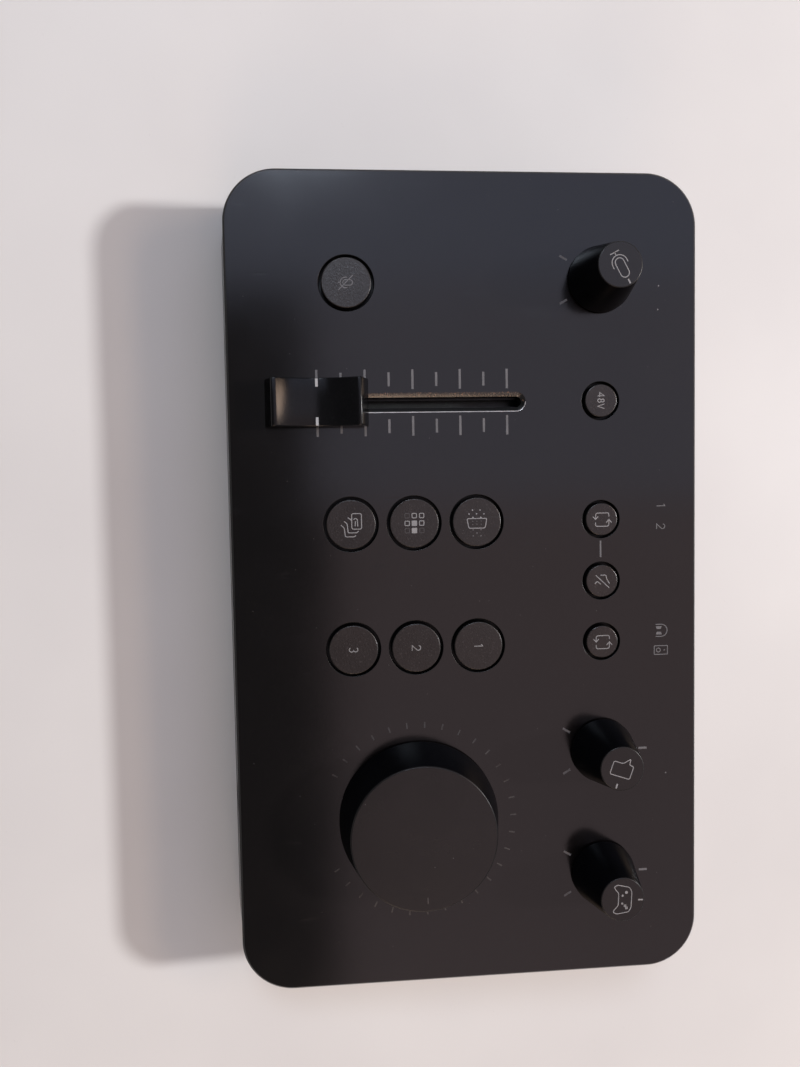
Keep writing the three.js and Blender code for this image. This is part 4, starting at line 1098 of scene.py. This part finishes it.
def makeKey(name, spec):
    low, high, middle, size = panelBox(name + "_key")
    radius, flange, top = keyRadius(name), size.x / 2, high.z
    edge, wall, roof = spec["edge"], spec["wall"], top - spec["roof"]
    flangeTop = -spec["panelThickness"] - spec["seam"]
    flangeLow = flangeTop - spec["flangeHeight"]
    profile = [(0, roof), (radius - wall, roof), (radius - wall, flangeLow), (flange, flangeLow),
               (flange, flangeTop), (radius, flangeTop), (radius, top - edge * spec["shoulder"]),
               *arcPoints(radius - edge, top - edge, edge, 0, 90, spec["edgeSteps"]),
               (radius - edge * spec["crown"], top), (0, top)]
    bm = bmesh.new()
    addLathe(bm, profile, spec["steps"], at(middle.x, middle.y),
             lambda first, second: 0 if min(first[1], second[1]) > top - edge * spec["flat"] else 1)
    addPost(bm, middle.x, middle.y, spec["stemRadius"], low.z, roof + spec["seam"], spec["stemSteps"])
    body = name + "_button"
    # the key's rounded edge and sides take the dark edge finish: painted shade
    coats = ["keyPlastic" if radius > spec["largeRadius"] else "smallKeyPlastic", "panelEdge"]
    dress(finishPiece(name + "KeySkin", bm, coats, panelPlace), "key_plastic", name + "_key", body=body)
    ink = "tickInk" if name == "mic_mute" else "printInk"
    printSymbol(name + "Symbol", keySymbols[name], middle.x, middle.y, top, "key_plastic", ink, body)
    if name in keyFaintSymbols:
        strokes, ink = keyFaintSymbols[name]
        printSymbol(name + "FaintSymbol", strokes, middle.x, middle.y, top, "key_plastic", ink, body)


for keyName in keyNames:
    makeKey(keyName, keySettings)
print("keys made,", len(keyNames))


# Dials: tapered knobs with sides darkened as painted shade, a lighter top, a thin rim lightened as a painted
# highlight, a symbol and a pointer

dialSettings = {
    "small": {
        "topRadius": 6.0 * mm, "edge": 0.28 * mm, "rimInset": 0.28 * mm, "roof": 8 * mm, "steps": 96,
        "pointer": (4.25, 5.55), "pointerWidth": 0.42 * mm, "ink": "printInk"},
    "large": {
        "topRadius": 19.9 * mm, "edge": 0.4 * mm, "rimInset": 0.5 * mm, "roof": 3.4 * mm, "steps": 160,
        "pointer": (15.9, 17.6), "pointerWidth": 0.35 * mm, "ink": "faintInk"},
    "lift": 0.6 * mm, "skirt": 0.8 * mm, "skirtEdge": 0.15 * mm, "wall": 1.5 * mm,
    "edgeFrom": 12, "edgeSteps": 5,      # the edge starts a few degrees above level
    "hubRadius": 4.9 * mm, "hubRise": 1.2 * mm, "halfTurn": 150.0,
}
dialSymbols = {"mic": micSymbol, "chat": chatSymbol, "game": gameSymbol, "volume": []}


def makeDial(name, spec):
    spec = {**spec, **spec["large" if name == "volume" else "small"]}
    _, high, _, size = panelBox(name + "_knob")
    spot = dialSpot(name)
    radius, top, edge, wall = size.x / 2, high.z, spec["edge"], spec["wall"]
    base, skirt, soft = spec["lift"], spec["lift"] + spec["skirt"], spec["skirtEdge"]
    hub, hubBase, roof = spec["hubRadius"], base + spec["hubRise"], top - spec["roof"]
    inner = radius - wall - (radius - spec["topRadius"]) / (top - skirt) * (roof - skirt)
    rim = spec["topRadius"] - edge
    profile = [(0, hubBase), (hub, hubBase), (hub, roof), (inner, roof), (radius - wall, base),
               (radius - soft, base), (radius, base + soft), (radius, skirt),
               *arcPoints(rim, top - edge, edge, spec["edgeFrom"], 90, spec["edgeSteps"]),
               (rim - spec["rimInset"], top), (0, top)]

    # the sides take the painted shade, the edge arc the painted highlight and the flat top its own finish
    def paintDial(first, second):
        if min(first[1], second[1]) < top - edge:
            return 0
        return 2 if abs(first[1] - second[1]) < tiny else 1

    bm = bmesh.new()
    addLathe(bm, profile, spec["steps"], at(spot.x, spot.y), paintDial)
    knob = finishPiece(name + "KnobSkin", bm, ["knobSide", "knobRim", "knobTop"], panelPlace)
    dress(knob, "knob_plastic", name + "_knob", body=name + "_dial")
    angle = spec["halfTurn"] + joints[name + "_turn"]["range_deg"][0]    # clockwise from the rear, at rest
    pointer = [("line", [(0, end) for end in spec["pointer"]], 0)]
    bm = bmesh.new()
    addSymbol(bm, pointer, spot.x, spot.y, top, angle, spec["pointerWidth"])
    addSymbol(bm, dialSymbols[name], spot.x, spot.y, top, angle)
    marks = finishPiece(name + "KnobMarks", bm, [spec["ink"]], panelPlace)
    dress(marks, "knob_plastic", body=name + "_dial")


for dialName in dialNames:
    makeDial(dialName, dialSettings)
print("dials made,", len(dialNames))


# Fader cap: a block with leaning ends and a saddle between two lips

capSettings = {
    "topLength": 24.1 * mm, "toe": 1.0 * mm, "lip": 1.1 * mm, "saddleDepth": 2.8 * mm, "saddleSteps": 28,
    "wall": 1.3 * mm, "edge": 0.35 * mm, "edgeSteps": 4, "edgeAngle": 24,
    "markWidth": 0.7 * mm, "markLength": 2.2 * mm, "markInset": 0.21 * mm,
}


def makeFaderCap(spec):
    low, high, middle, size = panelBox("fader_cap")
    half, topHalf, bottom, top = size.y / 2, spec["topLength"] / 2, low.z, high.z
    saddleHalf, deepest, toe = topHalf - spec["lip"], top - spec["saddleDepth"], bottom + spec["toe"]
    profile = [(-half, bottom), (half, bottom), (half, toe), (topHalf, top)]
    for i in range(spec["saddleSteps"] + 1):
        y = saddleHalf * (1 - 2 * i / spec["saddleSteps"])
        profile.append((y, top - spec["saddleDepth"] * (1 - (y / saddleHalf) ** 2)))
    profile += [(-topHalf, top), (-half, toe)]
    bm = bmesh.new()
    ends = []
    for x in (-size.x / 2, size.x / 2):
        ends.append([bm.verts.new((middle.x + x, middle.y + y, z)) for y, z in profile])
        bm.faces.new(ends[-1])
    bridge(bm, *ends)
    cap = finishPiece("faderCapSkin", bm, ["capGloss"])
    inner = bmesh.new()
    insideX, insideY = size.x / 2 - spec["wall"], topHalf - spec["wall"]
    addBlock(inner, (middle.x - insideX, middle.y - insideY, bottom - spec["toe"]),
             (middle.x + insideX, middle.y + insideY, deepest - spec["wall"]))
    carve(cap, finishPiece("capCutter", inner))
    bevel = cap.modifiers.new("edges", "BEVEL")
    bevel.width, bevel.segments = spec["edge"], spec["edgeSteps"]
    bevel.limit_method = "ANGLE"
    bevel.angle_limit = math.radians(spec["edgeAngle"])
    applyModifiers(cap)
    cap.data.transform(panelPlace)
    shadeEdges(cap.data)
    dress(cap, "cap_plastic", "fader_cap", body="fader")
    bm = bmesh.new()
    for side in (-1, 1):
        outer = middle.x + side * (size.x / 2 - spec["markInset"])
        inward = outer - side * spec["markLength"]
        addRibbon(bm, [(outer, middle.y), (inward, middle.y)], spec["markWidth"], deepest)
    dress(finishPiece("faderCapMarks", bm, ["capMark"], panelPlace), "cap_plastic", body="fader")


makeFaderCap(capSettings)
print("fader cap made")


# Printed marks on the panel

ladderSettings = {
    "count": 9, "start": 24.25 * mm, "travel": 52.7 * mm, "reach": 6.4 * mm,
    "long": 5.4 * mm, "short": 3.8 * mm, "width": 0.62 * mm, "ink": "tickInk",
}
smallMarks = {"radius": 12.0 * mm, "length": 2.4 * mm, "width": 0.62 * mm, "ink": "tickInk"}
dialMarkSettings = {
    "mic": {"count": 2, **smallMarks}, "chat": {"count": 3, **smallMarks}, "game": {"count": 3, **smallMarks},
    "volume": {"count": 29, "radius": 27.1 * mm, "length": 1.7 * mm, "width": 0.4 * mm, "ink": "faintInk"},
}


def repeatMarks(kind, name, x, y, spec, **values):
    proud, sunk = markSettings["proud"], markSettings["sunk"]
    place = panelPlace @ at(x, y, (proud - sunk) / 2)
    marks = runTree(trees[kind], name, {
        **spec, **values, "height": proud + sunk, "material": finishes[spec["ink"]]}, place)
    dress(marks, "panel_plastic")


def makeLadder(spec):
    repeatMarks("ladder", "faderMarks", panelBox("fader_frame")[2].x, spec["start"], spec,
                pitch=spec["travel"] / (spec["count"] - 1))


def makeDialMarks(name, spec):
    spot, halfTurn = dialSpot(name), math.radians(dialSettings["halfTurn"])
    repeatMarks("dial", name + "DialMarks", spot.x, spot.y, spec,
                firstAngle=-halfTurn, stepAngle=2 * halfTurn / (spec["count"] - 1))


makeLadder(ladderSettings)
for dialName, markSpec in dialMarkSettings.items():
    makeDialMarks(dialName, markSpec)

headphonesSymbol = [
    ("line", [(-1.75, -1.5), *bend(0.1, 1.75, 180, 0), (1.75, -1.5)], 0),
    ("fill", [(-1.2, -1.5), (-0.4, -1.2), (-0.4, 0.0), (-1.2, 0.3)], 0.15),
    ("fill", [(1.2, -1.5), (1.2, 0.3), (0.4, 0.0), (0.4, -1.2)], 0.15),
]
speakerSymbol = [
    ("loop", [(-1.25, -1.95), (1.25, -1.95), (1.25, 1.95), (-1.25, 1.95)], 0.2),
    ("loop", arcPoints(0, -0.75, 0.6, 0, 324, 9), 0),
    ("dot", (0, 1.0), 0.2),
]
labelSettings = {
    "row": 121.05 * mm, "symbols": {
        "panelDigit1": (digitSymbols["1"], -21.0 * mm), "panelDigit2": (digitSymbols["2"], -15.1 * mm),
        "headphonesSymbol": (headphonesSymbol, 14.8 * mm), "speakerSymbol": (speakerSymbol, 20.5 * mm)},
    "link": ((-11.4 * mm, 103.45 * mm), (-6.7 * mm, 103.45 * mm)), "linkWidth": 0.45 * mm,
    "lamps": ((-82.7 * mm, 120.45 * mm), (-76.1 * mm, 120.25 * mm), (56.4 * mm, 122.45 * mm)),
    "lampRadius": 0.22 * mm, "lampSteps": 12,
}


def makeLabels(spec):
    for name, (strokes, x) in spec["symbols"].items():
        printSymbol(name, strokes, x, spec["row"], 0, "panel_plastic", "tickInk")
    bm = bmesh.new()
    addRibbon(bm, spec["link"], spec["linkWidth"])
    for x, y in spec["lamps"]:
        addPatch(bm, circleOutline(spec["lampRadius"], spec["lampSteps"], x, y)(0))
    dress(finishPiece("panelDots", bm, ["tickInk"], panelPlace), "panel_plastic")


makeLabels(labelSettings)
print("printed marks made")


# Rear panel and sockets, drawn looking along the socket: X across, Y up, Z out of the face

usbNodes = ["usb_socket_1", "usb_socket_2"]

rearPanelSettings = {
    "corner": 1 * mm, "cornerSteps": 4, "edge": 0.1 * mm, "edgeSteps": 2, "holeSteps": 48,
    "usbGap": 0.3 * mm, "usbSteps": 8, "holes": {
        "mic_socket": 10.9 * mm, "aux_socket": 3.3 * mm,
        "speaker_socket_left": 4.9 * mm, "speaker_socket_right": 4.9 * mm},
}


def facing(node, turn=rearFacing):
    spot = worldBox(node)[2]
    return at(spot.x, 0, spot.z) @ turn


def makeRearPanel(spec):
    low, high, middle, size = worldBox("rear_panel")
    holes = []
    for node, radius in spec["holes"].items():
        spot = worldBox(node)[2]
        holes.append(circleOutline(radius, spec["holeSteps"], spot.x, spot.z))
    for node in usbNodes:
        _, _, spot, port = worldBox(node)
        shape = roundedOutline(port.x, port.z, port.z / 2, spec["usbSteps"], spot.x, spot.z)
        holes.append(grown(shape, spec["usbGap"]))
    bm = bmesh.new()
    outline = roundedOutline(size.x, size.z, spec["corner"], spec["cornerSteps"], middle.x, middle.z)
    addPlate(bm, outline, holes, low.y, high.y, spec["edge"], spec["edge"], spec["edgeSteps"], rearFacing)
    dress(finishPiece("rearPanelSkin", bm, ["rearCoat"]), "rear_plate", "rear_panel")


makeRearPanel(rearPanelSettings)

micSocketSettings = {
    "flange": (26 * mm, 29 * mm, 3 * mm), "flangeThickness": 1.9 * mm, "edge": 0.35 * mm, "edgeSteps": 3,
    "steps": 64, "cornerSteps": 8, "boreSteps": 32, "contactSteps": 20, "screwSteps": 24, "fineSteps": 2,
    "barrelRadius": 10.6 * mm, "grooveRadius": 9.2 * mm, "grooveDepth": 11 * mm,
    "insertRadius": 7.9 * mm, "insertRecess": 0.6 * mm, "sink": 0.2 * mm,
    "bore": 3.25 * mm, "contactRadius": 1.3 * mm, "contactCircle": 5.7 * mm, "holeEdge": 0.3 * mm,
    "screwAt": (10.2 * mm, 11.8 * mm), "screwRadius": 1.7 * mm,
    "screw": [(0, -0.5), (1, -0.5), (1, 0), (0.75, 0.25), (0.2, 0.3), (0.2, -0.1), (0, -0.1)],    # share, mm
    "latch": ((-2.2 * mm, 9.6 * mm), (2.2 * mm, 12.6 * mm)), "latchDepth": 0.7 * mm, "latchEdge": 0.15 * mm,
}


def makeMicSocket(spec):
    low, high, _, _ = worldBox("mic_socket")
    place, back, face, steps = facing("mic_socket"), low.y, high.y, spec["steps"]
    behind, floor = face - spec["flangeThickness"], face - spec["grooveDepth"]
    barrel, groove, edge = spec["barrelRadius"], spec["grooveRadius"], spec["edge"]
    width, height, corner = spec["flange"]
    bm = bmesh.new()
    flange = roundedOutline(width, height, corner, spec["cornerSteps"])
    addPlate(bm, flange, [circleOutline(groove, steps)], behind, face, edge, edge, spec["edgeSteps"], place)
    addLathe(bm, [(0, back), (barrel, back), (barrel, behind), (groove, behind), (groove, floor), (0, floor)],
             steps, place)
    holes = [circleOutline(spec["bore"], spec["boreSteps"])]
    for x, y in arcPoints(0, 0, spec["contactCircle"], 90, 330, 2):
        holes.append(circleOutline(spec["contactRadius"], spec["contactSteps"], x, y))
    addPlate(bm, circleOutline(spec["insertRadius"], steps), holes, floor - spec["sink"],
             face - spec["insertRecess"], edge, spec["holeEdge"], spec["fineSteps"], place)
    dress(finishPiece("micSocketSkin", bm, ["socketPlastic"]), "socket_plastic", "mic_socket")
    bm = bmesh.new()
    x, y = spec["screwAt"]
    head = [(share * spec["screwRadius"], z * mm) for share, z in spec["screw"]]
    for side in (-1, 1):
        addLathe(bm, head, spec["screwSteps"], place @ at(side * x, side * y, face))
    (x0, y0), (x1, y1) = spec["latch"]
    half = spec["latchDepth"] / 2
    latch = addBlock(bm, (x0, y0, face - half), (x1, y1, face + half), place)
    edges = dict.fromkeys(edge for corner in latch for edge in corner.link_edges)
    bmesh.ops.bevel(bm, geom=list(edges), offset=spec["latchEdge"], segments=spec["fineSteps"],
                    affect="EDGES")
    dress(finishPiece("micSocketFittings", bm, ["brightSteel"]), "bright_steel")


makeMicSocket(micSocketSettings)

phoneJack = {
    "bore": 3.25 * mm, "boreDepth": 17 * mm, "bushing": 4.6 * mm,
    "nut": 6.6 * mm, "nutHeight": 1.7 * mm, "nutSides": 6, "body": (13 * mm, 14 * mm)}
miniJack = {
    "bore": 1.8 * mm, "boreDepth": 12 * mm, "bushing": 3.0 * mm,
    "nut": 4.0 * mm, "nutHeight": 1.0 * mm, "nutSides": 40, "body": (8 * mm, 8 * mm)}
jackSettings = {
    "kinds": {"aux_socket": miniJack, "speaker_socket_left": phoneJack, "speaker_socket_right": phoneJack,
              "headset_socket": miniJack},
    "edge": 0.25 * mm, "seam": 0.3 * mm, "plate": 1.6 * mm, "floor": 1 * mm, "lap": 0.05 * mm, "steps": 48,
    "lipSteps": 4, "edgeSteps": 2, "bodyCorner": 0.5 * mm, "bodySteps": 3, "bodyEdge": 0.2 * mm,
    "ringWidth": 0.12 * mm, "ringSpan": (2.4 * mm, 0.9 * mm), "ringSteps": 40, "sharpAngle": 25,
}


def makeJack(node, spec):
    spec = {**spec, **spec["kinds"][node]}
    low, high, _, _ = worldBox(node)
    place, face, back = facing(node), high.y, low.y
    if node == "headset_socket":         # looks out of the front
        place, face, back = facing(node, frontFacing), -low.y, -high.y
    edge, bore, bushing, lap, steps = spec["edge"], spec["bore"], spec["bushing"], spec["lap"], spec["steps"]
    floor, under = face - spec["boreDepth"], face - spec["boreDepth"] - spec["floor"]
    behind = face - spec["nutHeight"] - spec["seam"] * 2 - spec["plate"]
    hole = [circleOutline(bushing - lap, steps)]
    bm = bmesh.new()
    addLathe(bm, [(0, floor), (bore, floor), (bore, face - edge),
                  *arcPoints(bore + edge, face - edge, edge, 180, 90, spec["lipSteps"]),
                  *arcPoints(bushing - edge, face - edge, edge, 90, 0, spec["lipSteps"]),
                  (bushing, under), (0, under)], steps, place)
    addPlate(bm, circleOutline(spec["nut"], spec["nutSides"]), hole, face - spec["nutHeight"],
             face - spec["seam"], edge, edge, spec["edgeSteps"], place)
    addPlate(bm, roundedOutline(*spec["body"], spec["bodyCorner"], spec["bodySteps"]), hole, back, behind,
             spec["bodyEdge"], place=place)
    skin = finishPiece(node + "Skin", bm, ["socketPlastic"], sharpAngle=spec["sharpAngle"])
    dress(skin, "socket_plastic", node)
    bm = bmesh.new()
    deep, shallow = spec["ringSpan"]
    addSleeve(bm, bore - spec["ringWidth"], bore + lap, face - deep, face - shallow, spec["ringSteps"],
              place)
    dress(finishPiece(node + "Ring", bm, ["brightSteel"]), "bright_steel")


for jackNode in jackSettings["kinds"]:
    makeJack(jackNode, jackSettings)

usbSettings = {
    "wall": 0.4 * mm, "edge": 0.1 * mm, "tongue": (6.6 * mm, 0.8 * mm), "contacts": 9, "pitch": 0.6 * mm,
    "contactWidth": 0.32 * mm, "sunk": 0.05 * mm, "proud": 0.04 * mm, "tip": 0.4 * mm,
    "steps": 10, "edgeSteps": 2,
}


def makeUsb(node, spec):
    low, high, _, size = worldBox(node)
    place, inside, tip = facing(node), low.y + size.z, high.y - size.z / 2
    shell = roundedOutline(size.x, size.z, size.z / 2, spec["steps"])
    bm = bmesh.new()
    addPlate(bm, shell, [grown(shell, -spec["wall"])], inside, high.y, spec["edge"], spec["edge"],
             spec["edgeSteps"], place)
    addPlate(bm, shell, [], low.y, inside, place=place)
    dress(finishPiece(node + "Skin", bm, ["brightSteel"]), "bright_steel", node)
    wide, thick = spec["tongue"][0] / 2, spec["tongue"][1] / 2
    bm = bmesh.new()
    addBlock(bm, (-wide, -thick, inside), (wide, thick, tip), place)
    dress(finishPiece(node + "Tongue", bm, ["socketPlastic"]), "socket_plastic")
    bm = bmesh.new()
    half = spec["contactWidth"] / 2
    for i in range(spec["contacts"]):
        x = (i - (spec["contacts"] - 1) / 2) * spec["pitch"]
        addBlock(bm, (x - half, thick - spec["sunk"], inside),
                 (x + half, thick + spec["proud"], tip - spec["tip"]), place)
    dress(finishPiece(node + "Contacts", bm, ["contactGold"]), "bright_steel")


for usbNode in usbNodes:
    makeUsb(usbNode, usbSettings)

inwardSymbol = [
    ("loop", arcPoints(0, 0, 1.5, 0, 337.5, 15), 0),
    ("line", [(0, 3.2), (0, -0.3)], 0),
    ("line", [(-0.8, 0.6), (0, -0.4), (0.8, 0.6)], 0),
]
rearMarkSettings = {
    "above": 3.6 * mm, "width": 0.3 * mm, "symbols": {
        "aux_socket": inwardSymbol, "usb_socket_1": digitSymbols["1"], "usb_socket_2": digitSymbols["2"],
        "speaker_socket_left": speakerSymbol, "speaker_socket_right": speakerSymbol},
}


def makeRearMarks(spec):
    face = worldBox("rear_panel")[1].y
    for node, strokes in spec["symbols"].items():
        _, high, middle, _ = worldBox(node)
        across = at(middle.x, face, high.z + spec["above"]) @ Matrix.Rotation(math.pi, 4, "Z")
        bm = bmesh.new()
        addSymbol(bm, strokes, 0, 0, 0, width=spec["width"])
        dress(finishPiece(node + "Mark", bm, ["printInk"], across @ frontFacing), "rear_plate")


makeRearMarks(rearMarkSettings)
for tree in trees.values():
    bpy.data.node_groups.remove(tree)
print("rear panel and sockets made")


# CAD solids that stay: the works inside the case

innerFinishes = {
    "main_board": "boardLaminate", "control_board": "boardLaminate", "board_ribbon": "ribbonPlastic",
    # the fader frame is made dark steel so the slot's inside reads black: painted shade
    "fader_frame": "blackSteel", "fader_guide_rod": "brightSteel", "fader_carriage": "socketPlastic",
    **{name + part: "brightSteel" for name in dialNames for part in ("_pot", "_shaft")},
    **{name + "_switch": "socketPlastic" for name in keyNames},
}


def paintInner(spec):
    for node, finish in spec.items():
        materials = frame["nodes"][node].data.materials
        for slot in range(len(materials)):
            materials[slot] = finishes[finish]


paintInner(innerFinishes)
print("inner parts painted,", len(innerFinishes))


# Floor

floorSettings = {"size": 4.0}


def makeFloor(spec):
    bm = bmesh.new()
    bmesh.ops.create_grid(bm, x_segments=1, y_segments=1, size=spec["size"] / 2)
    floor = finishPiece("floor", bm, ["floorSurface"])


makeFloor(floorSettings)
print("floor made")
